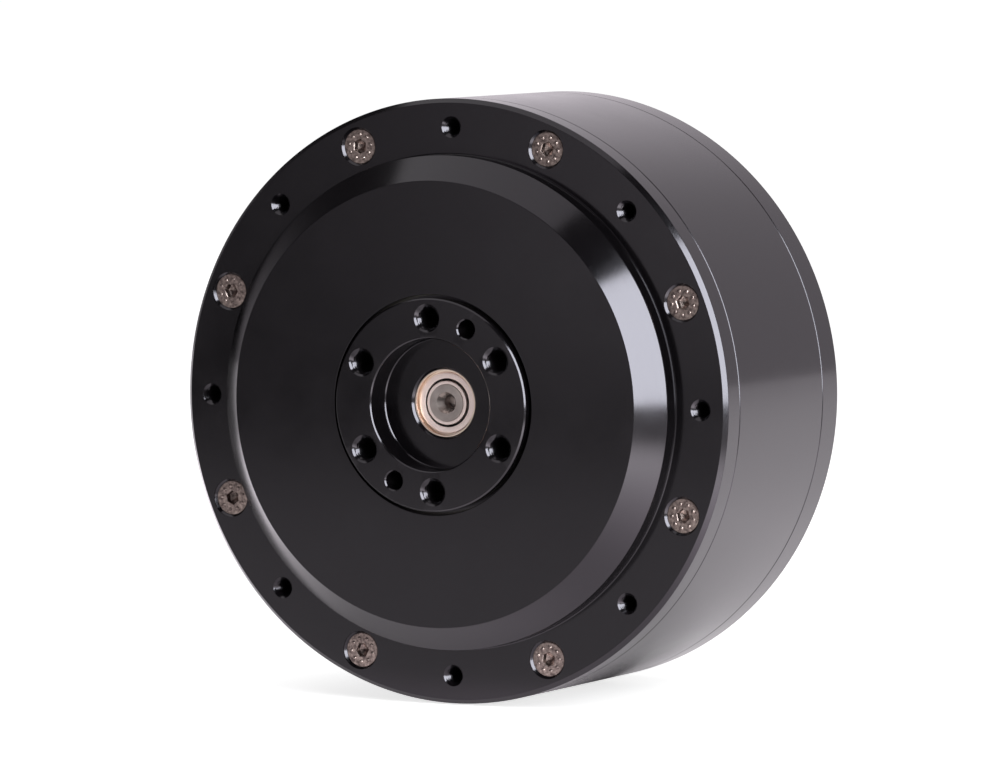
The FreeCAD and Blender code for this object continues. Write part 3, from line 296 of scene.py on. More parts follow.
glow_strength = add_node(
    table_tree, "ShaderNodeMix", {"data_type": "FLOAT"},
    {"Factor": table_path.outputs["Is Glossy Ray"], "A": seen_glow.outputs["Value"], "B": mirrored_light},
)
rear_glow = add_node(
    table_tree, "ShaderNodeMath", {"operation": "MULTIPLY"},
    {0: table_path.outputs["Is Glossy Ray"], 1: behind.outputs["Result"]},
)
glow_tint = add_node(
    table_tree, "ShaderNodeMix", {"data_type": "RGBA", 6: colour("#ffffff"), 7: colour("#fff7ff")},
    {"Factor": rear_glow.outputs["Value"]},
)
glow = add_node(
    table_tree, "ShaderNodeEmission",
    {}, {"Strength": glow_strength.outputs["Result"], "Color": glow_tint.outputs[2]},
)
# Painted shade: in reflections the matt part fades out where the actuator closes over the table.
painted_gap_shade = add_node(
    table_tree, "ShaderNodeMapRange", {"From Min": 0.09, "From Max": 0.17, "To Min": 0.0},
    {"Value": painted_shade_occlusion.outputs["AO"], "To Max": behind.outputs["Result"]},
)
matt_share = add_node(
    table_tree, "ShaderNodeMix", {"data_type": "FLOAT", "A": 1.0},
    {"Factor": table_path.outputs["Is Glossy Ray"], "B": painted_gap_shade.outputs["Result"]},
)
grain = add_node(
    table_tree, "ShaderNodeTexNoise",
    {"Scale": 900.0, "Detail": 2.0}, {"Vector": table_spot.outputs["Position"]},
)
tone = add_node(
    table_tree, "ShaderNodeMix",
    {"data_type": "RGBA", 6: colour("#e6e6e6"), 7: colour("#ececec")}, {"Factor": grain.outputs["Fac"]},
)
shade = add_node(
    table_tree, "ShaderNodeMix", {"data_type": "RGBA", 6: (0, 0, 0, 1)},
    {"Factor": matt_share.outputs["Result"], 7: tone.outputs[2]},
)
matt = add_node(table_tree, "ShaderNodeBsdfDiffuse", {}, {"Color": shade.outputs[2]})
both = add_node(table_tree, "ShaderNodeAddShader", {}, {0: matt.outputs["BSDF"], 1: glow.outputs["Emission"]})
add_node(table_tree, "ShaderNodeOutputMaterial", {}, {"Surface": both.outputs["Shader"]})

table_form = bmesh.new()
bmesh.ops.create_circle(table_form, cap_ends=True, segments=96, radius=12.0)
table_mesh = bpy.data.meshes.new("table")
table_form.to_mesh(table_mesh)
table_form.free()
table_mesh.materials.append(table_paint)
table = bpy.data.objects.new("table", table_mesh)
table.location.z = cad_box[0][2] - 0.0002
bpy.context.scene.collection.objects.link(table)


# ---- front cover
# Turned from black anodised aluminium: a ring with the mounting face, and a boss with a wide
# bevel over the output bearing. Eight countersunk screws hold it, between eight tapped holes.

MM = 0.001
case_radius = 49.0
rim_circle = 44.4
rim_holes = 8
boss_radius = 40.0
boss_face = -7.0
boss_bevel = 4.0
boss_bore = 17.8
bearing_seat = 23.5
bearing_front = -4.6
bearing_rear = 2.4
cover_rear = 4.8
spigot_radius = 40.9
spigot_rear = 6.8
pocket_radius = 36.3
screw_head_radius = 2.85
screw_shank_radius = 1.5
screw_recess = 0.5
screw_play = 0.3
screw_bore_radius = 1.6


def around(angle, radius, depth, facing=-1):
    """Places a tool or a screw round the output axis. It points rearwards if facing is -1."""
    turn = math.radians(angle)
    place = Matrix.Translation((radius * math.cos(turn) * MM, depth * MM, radius * math.sin(turn) * MM))
    if facing > 0:
        place = place @ Matrix.Rotation(math.pi, 4, "Z")
    return place


def evenly(count, first):
    """Angles of count things spread evenly round the axis."""
    return [first + 360.0 * i / count for i in range(count)]


def eased(corners):
    """Corners of (radius, depth, ease), each with its edge rounded over by its ease."""
    points = []
    for i, (radius, depth, ease) in enumerate(corners):
        here = Vector((radius, depth))
        if not ease:
            points.append(here)
            continue
        before = Vector(corners[i - 1][:2])
        after = Vector(corners[(i + 1) % len(corners)][:2])
        start = here + (before - here).normalized() * ease
        end = here + (after - here).normalized() * ease
        for step in range(5):
            t = step / 4
            points.append(start * (1 - t) ** 2 + here * 2 * t * (1 - t) + end * t * t)
    return points


def turn_on_lathe(form, outline, steps, place=None):
    """Adds a turned solid to a form: the closed outline of (radius, depth) swept round the axis."""
    rings = []
    for radius, depth in outline:
        if radius < 1e-6:
            spots = [Vector((0, depth * MM, 0))]
        else:
            turns = [2 * math.pi * i / steps for i in range(steps)]
            spots = [Vector((radius * math.cos(t), depth, radius * math.sin(t))) * MM for t in turns]
        rings.append([form.verts.new(place @ spot if place else spot) for spot in spots])
    for first, second in zip(rings, rings[1:] + rings[:1]):
        if len(first) == 1 and len(second) == 1:
            continue
        for i in range(steps):
            j = (i + 1) % steps
            corners = [first[i % len(first)], first[j % len(first)]]
            corners += [second[j % len(second)], second[i % len(second)]]
            form.faces.new(dict.fromkeys(corners))


def tap_thread(form, place, core_radius, crest_radius, pitch, depth, chamfer):
    """Adds the metal that a tap and a countersink take out: a helical thread below a cone."""
    steps = 48
    rows_per_turn = 7
    rows = int(depth / pitch * rows_per_turn)
    grid = []
    for row in range(-2, rows + 1):
        level = row * pitch / rows_per_turn
        circle = []
        for i in range(steps):
            phase = (level / pitch - i / steps) % 1.0
            thread = core_radius + (crest_radius - core_radius) * abs(2 * phase - 1)
            radius = max(thread, core_radius + chamfer - level)
            if row == rows:
                radius = core_radius
            t = 2 * math.pi * i / steps
            spot = Vector((radius * math.cos(t), level, radius * math.sin(t))) * MM
            circle.append(form.verts.new(place @ spot))
        grid.append(circle)
    for first, second in zip(grid, grid[1:]):
        for i in range(steps):
            j = (i + 1) % steps
            form.faces.new((first[i], first[j], second[j], second[i]))
    drill_tip = form.verts.new(place @ Vector((0, (depth + core_radius * 0.6) * MM, 0)))
    for i in range(steps):
        form.faces.new((grid[-1][i], grid[-1][(i + 1) % steps], drill_tip))
    form.faces.new(reversed(grid[0]))


def as_object(form, name):
    """An object from a form, with all faces turned outwards."""
    bmesh.ops.recalc_face_normals(form, faces=form.faces)
    mesh = bpy.data.meshes.new(name)
    form.to_mesh(mesh)
    form.free()
    piece = bpy.data.objects.new(name, mesh)
    bpy.context.scene.collection.objects.link(piece)
    return piece


def machined(blank, tools, name, crossing=False):
    """A piece from a blank form and a form of all the metal that the tools take out. Crossing says
    that the tools cut where solids of the blank, or the tools themselves, overlap one another."""
    piece = as_object(blank, name)
    cutter = as_object(tools, name + "_tools")
    cut = piece.modifiers.new("cut", "BOOLEAN")
    cut.object = cutter
    cut.operation = "DIFFERENCE"
    cut.solver = "EXACT"
    cut.use_self = crossing
    graph = bpy.context.evaluated_depsgraph_get()
    result = bpy.data.meshes.new_from_object(piece.evaluated_get(graph))
    piece.modifiers.clear()
    piece.data = result
    result.name = name
    bpy.data.objects.remove(cutter)
    return piece


def fitted(piece, finish, body, slot, *nodes):
    """Shades a finished piece with crisp edges and truly flat faces, gives it its finish, and fits
    it in the actuator."""
    form = bmesh.new()
    form.from_mesh(piece.data)
    bmesh.ops.remove_doubles(form, verts=form.verts, dist=0.001 * MM)
    bmesh.ops.dissolve_degenerate(form, edges=form.edges, dist=0.001 * MM)
    for face in form.faces:
        face.smooth = True
    for edge in form.edges:
        if len(edge.link_faces) == 2 and edge.calc_face_angle(0) > math.radians(28):
            edge.smooth = False
    form.to_mesh(piece.data)
    form.free()
    level_faces = piece.modifiers.new("level_faces", "WEIGHTED_NORMAL")
    level_faces.keep_sharp = True
    level_faces.weight = 100
    graph = bpy.context.evaluated_depsgraph_get()
    piece.data = bpy.data.meshes.new_from_object(piece.evaluated_get(graph))
    piece.modifiers.clear()
    piece.data.name = piece.name
    piece.data.materials.clear()
    piece.data.materials.append(finish)
    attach(piece, body)
    if nodes:
        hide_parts(*nodes)
    return piece


def new_finish(name):
    """An empty material, its node tree, the tree's principled shader, and the place on the piece in
    metres, which every pattern takes so that its size stays true."""
    finish = bpy.data.materials.new(name)
    finish.use_nodes = True
    tree = finish.node_tree
    tree.nodes.clear()
    shader = add_node(tree, "ShaderNodeBsdfPrincipled")
    add_node(tree, "ShaderNodeOutputMaterial", {}, {"Surface": shader.outputs["BSDF"]})
    spot = add_node(tree, "ShaderNodeTexCoord").outputs["Object"]
    return finish, tree, shader, spot


def lathe_lines(tree, spot, pitch_mm):
    """Marks that a lathe leaves: noise that changes with radius and depth, never round the axis."""
    split = add_node(tree, "ShaderNodeSeparateXYZ", {}, {"Vector": spot})
    flat = add_node(
        tree, "ShaderNodeCombineXYZ", {}, {"X": split.outputs["X"], "Y": split.outputs["Z"]}
    )
    radius = add_node(tree, "ShaderNodeVectorMath", {"operation": "LENGTH"}, {0: flat.outputs["Vector"]})
    line = add_node(
        tree, "ShaderNodeCombineXYZ", {}, {"X": radius.outputs["Value"], "Y": split.outputs["Y"]}
    )
    return add_node(
        tree, "ShaderNodeTexNoise",
        {"Scale": 1 / (pitch_mm * MM), "Detail": 2.0, "Roughness": 0.6}, {"Vector": line.outputs["Vector"]},
    )


def black_anodised(name, dark, light, roughness, line_mm, line_depth_mm):
    """Black anodised aluminium, fine turned: dyed oxide, nearly black, with the clean gloss of a thin
    glassy film. Lathe lines draw its reflections out across the turning, and the dye varies softly."""
    finish, tree, shader, spot = new_finish(name)
    lines = lathe_lines(tree, spot, line_mm)
    clouds = add_node(
        tree, "ShaderNodeTexNoise",
        {"Scale": 1 / (9.0 * MM), "Detail": 4.0, "Roughness": 0.55}, {"Vector": spot},
    )
    spots = add_node(tree, "ShaderNodeTexNoise", {"Scale": 1 / (0.5 * MM), "Detail": 1.0}, {"Vector": spot})
    dye = add_node(
        tree, "ShaderNodeMix", {"data_type": "RGBA", 6: colour(dark), 7: colour(light)},
        {"Factor": clouds.outputs["Fac"]},
    )
    wear = add_node(
        tree, "ShaderNodeMapRange",
        {"From Min": 0.3, "From Max": 0.7, "To Min": roughness - 0.025, "To Max": roughness + 0.025},
        {"Value": clouds.outputs["Fac"]},
    )
    gloss = add_node(
        tree, "ShaderNodeMath",
        {"operation": "MULTIPLY_ADD", 1: 0.04}, {0: spots.outputs["Fac"], 2: wear.outputs["Result"]},
    )
    relief = add_node(
        tree, "ShaderNodeBump",
        {"Strength": 1.0, "Distance": line_depth_mm * MM}, {"Height": lines.outputs["Fac"]},
    )
    grooves = add_node(tree, "ShaderNodeTangent", {"direction_type": "RADIAL", "axis": "Y"})
    shader.inputs["IOR"].default_value = 1.48
    shader.inputs["Specular Tint"].default_value = colour("#f8effa")
    shader.inputs["Anisotropic"].default_value = 0.2
    shader.inputs["Anisotropic Rotation"].default_value = 0.25
    tree.links.new(grooves.outputs["Tangent"], shader.inputs["Tangent"])
    tree.links.new(dye.outputs[2], shader.inputs["Base Color"])
    tree.links.new(gloss.outputs["Value"], shader.inputs["Roughness"])
    tree.links.new(relief.outputs["Normal"], shader.inputs["Normal"])
    return finish


turned_anodised = black_anodised("black_anodised_fine_turned", "#09080a", "#0f0d0f", 0.13, 0.30, 0.0006)

cover_form = bmesh.new()
turn_on_lathe(cover_form, eased([
    (boss_bore, boss_face, 0.12),
    (boss_radius - boss_bevel, boss_face, 0.06),
    (boss_radius, boss_face + boss_bevel, 0.12),
    (boss_radius, 0, 0.28),
    (case_radius - 0.7, 0, 0.05),
    (case_radius, 0.7, 0.05),
    (case_radius, cover_rear, 0.06),
    (spigot_radius, cover_rear, 0),
    (spigot_radius, spigot_rear, 0.2),
    (pocket_radius, spigot_rear, 0),
    (pocket_radius, bearing_rear, 0),
    (bearing_seat, bearing_rear, 0),
    (bearing_seat, bearing_front, 0),
    (boss_bore, bearing_front, 0),
]), 320)
cover_tools = bmesh.new()


def countersink(form, place, head_radius, recess, mouth, shank_radius, depth):
    """Adds the metal taken out for a flat head: a short straight wall, a 90 degree cone and a bore."""
    mouth_radius = head_radius + mouth
    straight = max(recess - mouth, 0.0)
    turn_on_lathe(form, [
        (0, -1.0),
        (mouth_radius, -1.0),
        (mouth_radius, straight),
        (shank_radius, straight + mouth_radius - shank_radius),
        (shank_radius, depth),
        (0, depth),
    ], 64, place)


for angle in evenly(rim_holes, 22.5):
    place = around(angle, rim_circle, 0)
    countersink(cover_tools, place, screw_head_radius, screw_recess, screw_play, screw_bore_radius, 8.0)
for angle in evenly(rim_holes, 0):
    tap_thread(cover_tools, around(angle, rim_circle, 0), 1.25, 1.5, 0.5, 6.5, 0.5)
front_cover = machined(cover_form, cover_tools, "front_cover_turned")
fitted(front_cover, turned_anodised, "case", "black_anodised_aluminium", "front_cover")


# ---- output flange
# The turning output, black anodised and turned in one piece with its bearing journal and carrier
# disc. Six tapped holes and two dowel holes take the driven arm, and a recess centres it.

flange_face = -7.9
flange_radius = 17.2
recess_radius = 10.7
recess_floor = -3.0
journal_radius = 17.5
disc_radius = 21.0
disc_rear = 5.4
pilot_seat = 5.5
pilot_rear = 1.2
shaft_bore = 4.15
output_circle = 14.0
dowel_radius = 1.5
carrier_post_circle = 17.5
carrier_post_radius = 3.0
carrier_post_rear = 13.7


def rod(radius, front, rear):
    """Outline of a plain rod between two depths."""
    return [(0, front), (radius, front), (radius, rear), (0, rear)]


flange_form = bmesh.new()
turn_on_lathe(flange_form, eased([
    (recess_radius, flange_face + 0.2, 0.03),
    (recess_radius + 0.2, flange_face, 0.03),
    (flange_radius - 0.25, flange_face, 0.03),
    (flange_radius, flange_face + 0.25, 0.03),
    (flange_radius, bearing_front, 0),
    (journal_radius, bearing_front, 0),
    (journal_radius, bearing_rear, 0),
    (disc_radius, bearing_rear, 0.2),
    (disc_radius, disc_rear, 0.2),
    (shaft_bore, disc_rear, 0),
    (shaft_bore, pilot_rear, 0),
    (pilot_seat, pilot_rear, 0),
    (pilot_seat, recess_floor + 0.35, 0.02),
    (pilot_seat + 0.35, recess_floor, 0.04),
    (recess_radius - 0.18, recess_floor, 0.04),
    (recess_radius, recess_floor - 0.18, 0.04),
]), 256)
carrier_post = rod(carrier_post_radius, disc_rear - 0.2, carrier_post_rear)
for angle in evenly(3, 122):
    turn_on_lathe(flange_form, carrier_post, 48, around(angle, carrier_post_circle, 0))
flange_tools = bmesh.new()
for angle in evenly(6, 92):
    tap_thread(flange_tools, around(angle, output_circle, flange_face), 1.7, 2.0, 0.7, 8.5, 0.6)
for angle in (62, 242):
    turn_on_lathe(flange_tools, [
        (0, -1.0),
        (dowel_radius + 0.2, -1.0),
        (dowel_radius + 0.2, 0.0),
        (dowel_radius, 0.2),
        (dowel_radius, 6.0),
        (0, 6.9),
    ], 64, around(angle, output_circle, flange_face))
flange_anodised = black_anodised("black_anodised_output", "#09080a", "#100e10", 0.12, 0.26, 0.0006)
output_flange = machined(flange_form, flange_tools, "output_flange_turned")
fitted(output_flange, flange_anodised, "output", "black_anodised_aluminium", "output_flange")


# ---- housing
# A plain tube of black anodised aluminium between the two covers, turned outside in one pass. A
# fine bevel on its front edge makes the seam line, and both ends are tapped for the cover screws.

housing_front = cover_rear
housing_rear = 36.4
housing_bore = 41.0
stator_seat = 45.6
stator_seat_front = 10.8
stator_seat_rear = 30.5

housing_form = bmesh.new()
turn_on_lathe(housing_form, eased([
    (housing_bore, housing_front, 0),
    (case_radius - 0.28, housing_front, 0.03),
    (case_radius, housing_front + 0.28, 0.03),
    (case_radius, housing_rear, 0.05),
    (housing_bore, housing_rear, 0),
    (housing_bore, stator_seat_rear, 0.3),
    (stator_seat, stator_seat_rear, 0),
    (stator_seat, stator_seat_front, 0),
    (housing_bore, stator_seat_front, 0.3),
]), 320)
housing_tools = bmesh.new()
tapped_bore = rod(1.52, -1.0, 7.0)
for angle in evenly(rim_holes, 22.5):
    turn_on_lathe(housing_tools, tapped_bore, 32, around(angle, rim_circle, housing_front))
    turn_on_lathe(housing_tools, tapped_bore, 32, around(angle, rim_circle, housing_rear, 1))
housing = machined(housing_form, housing_tools, "housing_turned")
fitted(housing, turned_anodised, "case", "black_anodised_aluminium", "housing")


# ---- rear cover
# A turned and black anodised plate that closes the housing and seats the rotor bearing. Eight
# countersunk screws hold it, and its pocket holds the driver board under the cap.

case_length = 42.8
rotor_seat = 8.0
hub_radius = 11.5
hub_front = 33.4
board_pocket = 36.6
board_floor = 39.8
post_circle = 31.0
post_radius = 3.2

rear_form = bmesh.new()
turn_on_lathe(rear_form, eased([
    (rotor_seat, hub_front, 0),
    (hub_radius, hub_front, 0.2),
    (hub_radius, housing_rear, 0),
    (spigot_radius - 2.0, housing_rear, 0),
    (spigot_radius - 2.0, housing_rear - 2.0, 0),
    (spigot_radius, housing_rear - 2.0, 0.2),
    (spigot_radius, housing_rear, 0),
    (case_radius - 0.28, housing_rear, 0.03),
    (case_radius, housing_rear + 0.28, 0.03),
    (case_radius, case_length - 0.5, 0.05),
    (case_radius - 0.5, case_length, 0.05),
    (board_pocket, case_length, 0.1),
    (board_pocket, board_floor, 0),
    (rotor_seat - 1.4, board_floor, 0.1),
    (rotor_seat - 1.4, board_floor - 1.4, 0),
    (rotor_seat, board_floor - 1.4, 0),
]), 320)
post_angles = evenly(4, 45.0)
for angle in post_angles:
    turn_on_lathe(rear_form, rod(post_radius, board_floor - 0.2, 43.0), 40, around(angle, post_circle, 0))
rear_tools = bmesh.new()
for angle in evenly(rim_holes, 22.5):
    place = around(angle, rim_circle, case_length, 1)
    countersink(rear_tools, place, screw_head_radius, screw_recess, screw_play, screw_bore_radius, 9.0)
rear_cover = machined(rear_form, rear_tools, "rear_cover_turned")
fitted(rear_cover, turned_anodised, "case", "black_anodised_aluminium", "rear_cover")


# ---- driver cap
# A round cap over the driver electronics, milled from black anodised aluminium and blasted fine,
# with a wide bevel, two shallow cooling grooves round its side and windows for three sockets.

cap_face = 53.8
cap_radius = 38.5
cap_bore = 36.9
cap_ceiling = 52.0
cap_bevel = 1.5
cap_screw_head_radius = 2.3
board_rear = 44.6

cap_form = bmesh.new()
cap_outline = [(cap_bore, case_length, 0), (cap_radius, case_length, 0.05)]
for groove in (46.2, 48.6):
    cap_outline += [
        (cap_radius, groove, 0.08),
        (cap_radius - 0.35, groove + 0.15, 0.08),
        (cap_radius - 0.35, groove + 0.65, 0.08),
        (cap_radius, groove + 0.8, 0.08),
    ]
cap_outline += [
    (cap_radius, cap_face - cap_bevel, 0.12),
    (cap_radius - cap_bevel, cap_face, 0.12),
    (0, cap_face, 0),
    (0, cap_ceiling, 0),
    (cap_bore, cap_ceiling, 0),
]
turn_on_lathe(cap_form, eased(cap_outline), 256)
cap_post = rod(post_radius, board_rear, cap_ceiling + 0.2)
for angle in post_angles:
    turn_on_lathe(cap_form, cap_post, 40, around(angle, post_circle, 0))
cap_tools = bmesh.new()
for angle in post_angles:
    place = around(angle, post_circle, cap_face, 1)
    countersink(cap_tools, place, cap_screw_head_radius, 0.0, 0.06, 1.35, 12.0)


def block(form, centre_x, centre_z, width, height, front, rear):
    """Adds a box between two depths to a form."""
    size = Matrix.Diagonal((width * MM, (rear - front) * MM, height * MM, 1.0))
    place = Matrix.Translation((centre_x * MM, (front + rear) / 2 * MM, centre_z * MM))
    bmesh.ops.create_cube(form, size=1.0, matrix=place @ size)


power_socket_z = -24.0
power_socket_size = (12.4, 8.2)
signal_socket_x = 15.5
signal_socket_z = -13.0
signal_socket_size = (9.6, 4.6)
window_places = [(0, power_socket_z, *power_socket_size)]
window_places += [(side * signal_socket_x, signal_socket_z, *signal_socket_size) for side in (-1, 1)]
window_play = 0.6
for centre_x, centre_z, width, height in window_places:
    block(
        cap_tools, centre_x, centre_z, width + window_play, height + window_play,
        cap_ceiling - 1.0, cap_face + 1.2,
    )
driver_cap = machined(cap_form, cap_tools, "driver_cap_milled", crossing=True)

# Bead-blasted and then anodised black: the same dyed oxide on a surface of fine dents, so it is an
# even matt charcoal that sets the cap apart from the glossy turned case.
blasted_anodised, blasted_tree, blasted_shader, blasted_spot = new_finish("black_anodised_bead_blasted")
dents = add_node(
    blasted_tree, "ShaderNodeTexNoise", {"Scale": 1 / (0.25 * MM), "Detail": 3.0}, {"Vector": blasted_spot},
)
handling = add_node(
    blasted_tree, "ShaderNodeTexNoise", {"Scale": 1 / (12.0 * MM), "Detail": 4.0}, {"Vector": blasted_spot},
)
blasted_dye = add_node(
    blasted_tree, "ShaderNodeMix", {"data_type": "RGBA", 6: colour("#151415"), 7: colour("#1d1b1d")},
    {"Factor": handling.outputs["Fac"]},
)
blasted_gloss = add_node(
    blasted_tree, "ShaderNodeMapRange", {"To Min": 0.4, "To Max": 0.5}, {"Value": handling.outputs["Fac"]},
)
blasted_relief = add_node(
    blasted_tree, "ShaderNodeBump",
    {"Strength": 1.0, "Distance": 0.006 * MM}, {"Height": dents.outputs["Fac"]},
)
blasted_shader.inputs["IOR"].default_value = 1.48
blasted_tree.links.new(blasted_dye.outputs[2], blasted_shader.inputs["Base Color"])
blasted_tree.links.new(blasted_gloss.outputs["Result"], blasted_shader.inputs["Roughness"])
blasted_tree.links.new(blasted_relief.outputs["Normal"], blasted_shader.inputs["Normal"])
fitted(driver_cap, blasted_anodised, "case", "black_anodised_aluminium", "driver_cap")


# ---- cover and cap screws
# Alloy steel flat head screws with small hexagon sockets. Eight of M3 hold each cover, sunk a
# little below its face, and four of M2.5 clamp the cap and the board onto the rear cover's posts.

def flat_head_screws(places, head_radius, shank_radius, length, across_flats, socket_depth, beads=0):
    """Flat head screws with hexagon sockets, as one mesh. Each place points along its screw. Beads
    are small plain domes that forging leaves in a ring round the socket."""
    screws = bmesh.new()
    sockets = bmesh.new()
    outline = eased([
        (0, 0, 0),
        (head_radius - 0.1, 0, 0.08),
        (head_radius, 0.1, 0.04),
        (shank_radius, head_radius - shank_radius, 0.15),
        (shank_radius, length - 0.4, 0),
        (shank_radius - 0.4, length, 0),
        (0, length, 0),
    ])
    reach = across_flats / math.sqrt(3)
    socket = [
        (0, -0.5),
        (reach + 0.12, -0.5),
        (reach + 0.12, 0.0),
        (reach, 0.12),
        (reach, socket_depth),
        (0, socket_depth + reach * 0.5),
    ]
    for place in places:
        turn_on_lathe(screws, outline, 64, place)
        turn_on_lathe(sockets, socket, 6, place)
    heads = machined(screws, sockets, "flat_head_screws")
    domes = bmesh.new()
    domes.from_mesh(heads.data)
    bead_circle = head_radius * 0.68 * MM
    for place in places:
        for angle in evenly(beads, 0):
            turn = math.radians(angle)
            spot = Matrix.Translation((bead_circle * math.cos(turn), 0.0, bead_circle * math.sin(turn)))
            dome = [(0.32, 0.03), (0.3, -0.06), (0.18, -0.16), (0, -0.19), (0, 0.03)]
            turn_on_lathe(domes, dome, 12, place @ spot)
    bmesh.ops.recalc_face_normals(domes, faces=domes.faces)
    domes.to_mesh(heads.data)
    domes.free()
    return heads


def screw_steel(name, dark, light, roughness):
    """Alloy steel with a thin worn phosphate coat: metal, brown-grey and mottled like a used tool,
    with darker pits, so that each head looks a little different and duller than bare steel."""
    finish, tree, shader, spot = new_finish(name)
    blotches = add_node(
        tree, "ShaderNodeTexNoise",
        {"Scale": 1 / (0.6 * MM), "Detail": 5.0, "Roughness": 0.7}, {"Vector": spot},
    )
    pits = add_node(
        tree, "ShaderNodeTexVoronoi", {"Scale": 1 / (0.35 * MM), "Randomness": 1.0}, {"Vector": spot},
    )
    pitted = add_node(
        tree, "ShaderNodeMapRange", {"From Min": 0.05, "From Max": 0.28, "To Min": 0.7, "To Max": 1.0},
        {"Value": pits.outputs["Distance"]},
    )
    contrast = add_node(
        tree, "ShaderNodeMapRange", {"From Min": 0.36, "From Max": 0.64}, {"Value": blotches.outputs["Fac"]},
    )
    coat = add_node(
        tree, "ShaderNodeMix", {"data_type": "RGBA", 6: colour(dark), 7: colour(light)},
        {"Factor": contrast.outputs["Result"]},
    )
    pitted_coat = add_node(
        tree, "ShaderNodeVectorMath",
        {"operation": "SCALE"}, {0: coat.outputs[2], "Scale": pitted.outputs["Result"]},
    )
    dull = add_node(
        tree, "ShaderNodeMapRange", {"To Min": roughness + 0.1, "To Max": roughness - 0.05},
        {"Value": contrast.outputs["Result"]},
    )
    relief = add_node(
        tree, "ShaderNodeBump", {"Strength": 1.0, "Distance": 0.01 * MM}, {"Height": blotches.outputs["Fac"]},
    )
    shader.inputs["Metallic"].default_value = 1.0
    tree.links.new(pitted_coat.outputs["Vector"], shader.inputs["Base Color"])
    tree.links.new(dull.outputs["Result"], shader.inputs["Roughness"])
    tree.links.new(relief.outputs["Normal"], shader.inputs["Normal"])
    return finish


worn_screw_steel = screw_steel("worn_screw_steel", "#5a4e4c", "#a6958f", 0.37)
head_turns = (12.0, 47.0, 31.0, 3.0, 22.0, 55.0, 38.0, 17.0)
front_places = [
    around(angle, rim_circle, screw_recess) @ Matrix.Rotation(math.radians(turn), 4, "Y")
    for angle, turn in zip(evenly(rim_holes, 22.5), head_turns)
]
rear_places = [
    around(angle, rim_circle, case_length - screw_recess, 1) @ Matrix.Rotation(math.radians(turn), 4, "Y")
    for angle, turn in zip(evenly(rim_holes, 22.5), head_turns)
]
front_screws = flat_head_screws(front_places, screw_head_radius, screw_shank_radius, 10.0, 2.0, 1.2, 9)
fitted(front_screws, worn_screw_steel, "case", "black_steel_screws", "front_cover_screws")
rear_screws = flat_head_screws(rear_places, screw_head_radius, screw_shank_radius, 10.0, 2.0, 1.2, 9)
fitted(rear_screws, worn_screw_steel, "case", "black_steel_screws", "rear_cover_screws")
cap_places = [
    around(angle, post_circle, cap_face, 1) @ Matrix.Rotation(math.radians(turn), 4, "Y")
    for angle, turn in zip(post_angles, head_turns)
]
cap_screws = flat_head_screws(cap_places, cap_screw_head_radius, 1.25, 12.8, 1.5, 0.9)
fitted(cap_screws, worn_screw_steel, "case", "black_steel_screws", "driver_cap_screws")


# ---- pilot bearing
# A small shielded ball bearing in a thin steel sleeve with a lip, pressed into the floor of the
# recess. It guides the front end of the inner shaft, whose turned end with its lathe centre shows.

pilot_front = -1.8
pilot_outer_radius = 5.0
pilot_shield_radius = 3.95
pilot_bore = 3.0
sleeve_front = pilot_front - 0.7
lip_bore = 5.24


def ground_steel(name, dark, light, roughness, line_mm, line_depth_mm):
    """Ground and hardened bearing steel: bright metal with a warm cast. Fine grinding lines run
    round it, so it catches wide soft light and never mirrors sharply."""
    finish, tree, shader, spot = new_finish(name)
    lines = lathe_lines(tree, spot, line_mm)
    haze = add_node(tree, "ShaderNodeTexNoise", {"Scale": 1 / (2.5 * MM), "Detail": 4.0}, {"Vector": spot})
    metal = add_node(
        tree, "ShaderNodeMix",
        {"data_type": "RGBA", 6: colour(dark), 7: colour(light)}, {"Factor": haze.outputs["Fac"]},
    )
    polish = add_node(
        tree, "ShaderNodeMapRange", {"To Min": roughness - 0.06, "To Max": roughness + 0.06},
        {"Value": haze.outputs["Fac"]},
    )
    relief = add_node(
        tree, "ShaderNodeBump",
        {"Strength": 1.0, "Distance": line_depth_mm * MM}, {"Height": lines.outputs["Fac"]},
    )
    shader.inputs["Metallic"].default_value = 1.0
    tree.links.new(metal.outputs[2], shader.inputs["Base Color"])
    tree.links.new(polish.outputs["Result"], shader.inputs["Roughness"])
    tree.links.new(relief.outputs["Normal"], shader.inputs["Normal"])
    return finish


bearing_steel = ground_steel("ground_bearing_steel", "#f0dad5", "#fdeee9", 0.55, 0.12, 0.0008)
sleeve_steel = ground_steel("straw_tempered_steel", "#d9c5b6", "#f1ddcd", 0.3, 0.2, 0.001)

sleeve_form = bmesh.new()
turn_on_lathe(sleeve_form, eased([
    (pilot_outer_radius, pilot_front + 0.3, 0),
    (lip_bore, pilot_front + 0.3, 0.03),
    (lip_bore, sleeve_front, 0.04),
    (pilot_seat, sleeve_front, 0.05),
    (pilot_seat, pilot_rear, 0),
    (pilot_outer_radius, pilot_rear, 0),
]), 128)
sleeve = as_object(sleeve_form, "pilot_sleeve")
fitted(sleeve, sleeve_steel, "output", "bearing_steel", "pilot_bearing_sleeve")

pilot_outer_form = bmesh.new()
turn_on_lathe(pilot_outer_form, eased([
    (pilot_shield_radius, pilot_front, 0.08),
    (pilot_outer_radius, pilot_front, 0.28),
    (pilot_outer_radius, pilot_rear, 0.28),
    (pilot_shield_radius, pilot_rear, 0.08),
]), 128)
pilot_outer = as_object(pilot_outer_form, "pilot_outer_race")
fitted(pilot_outer, bearing_steel, "output", "bearing_steel", "pilot_bearing_outer_ring")

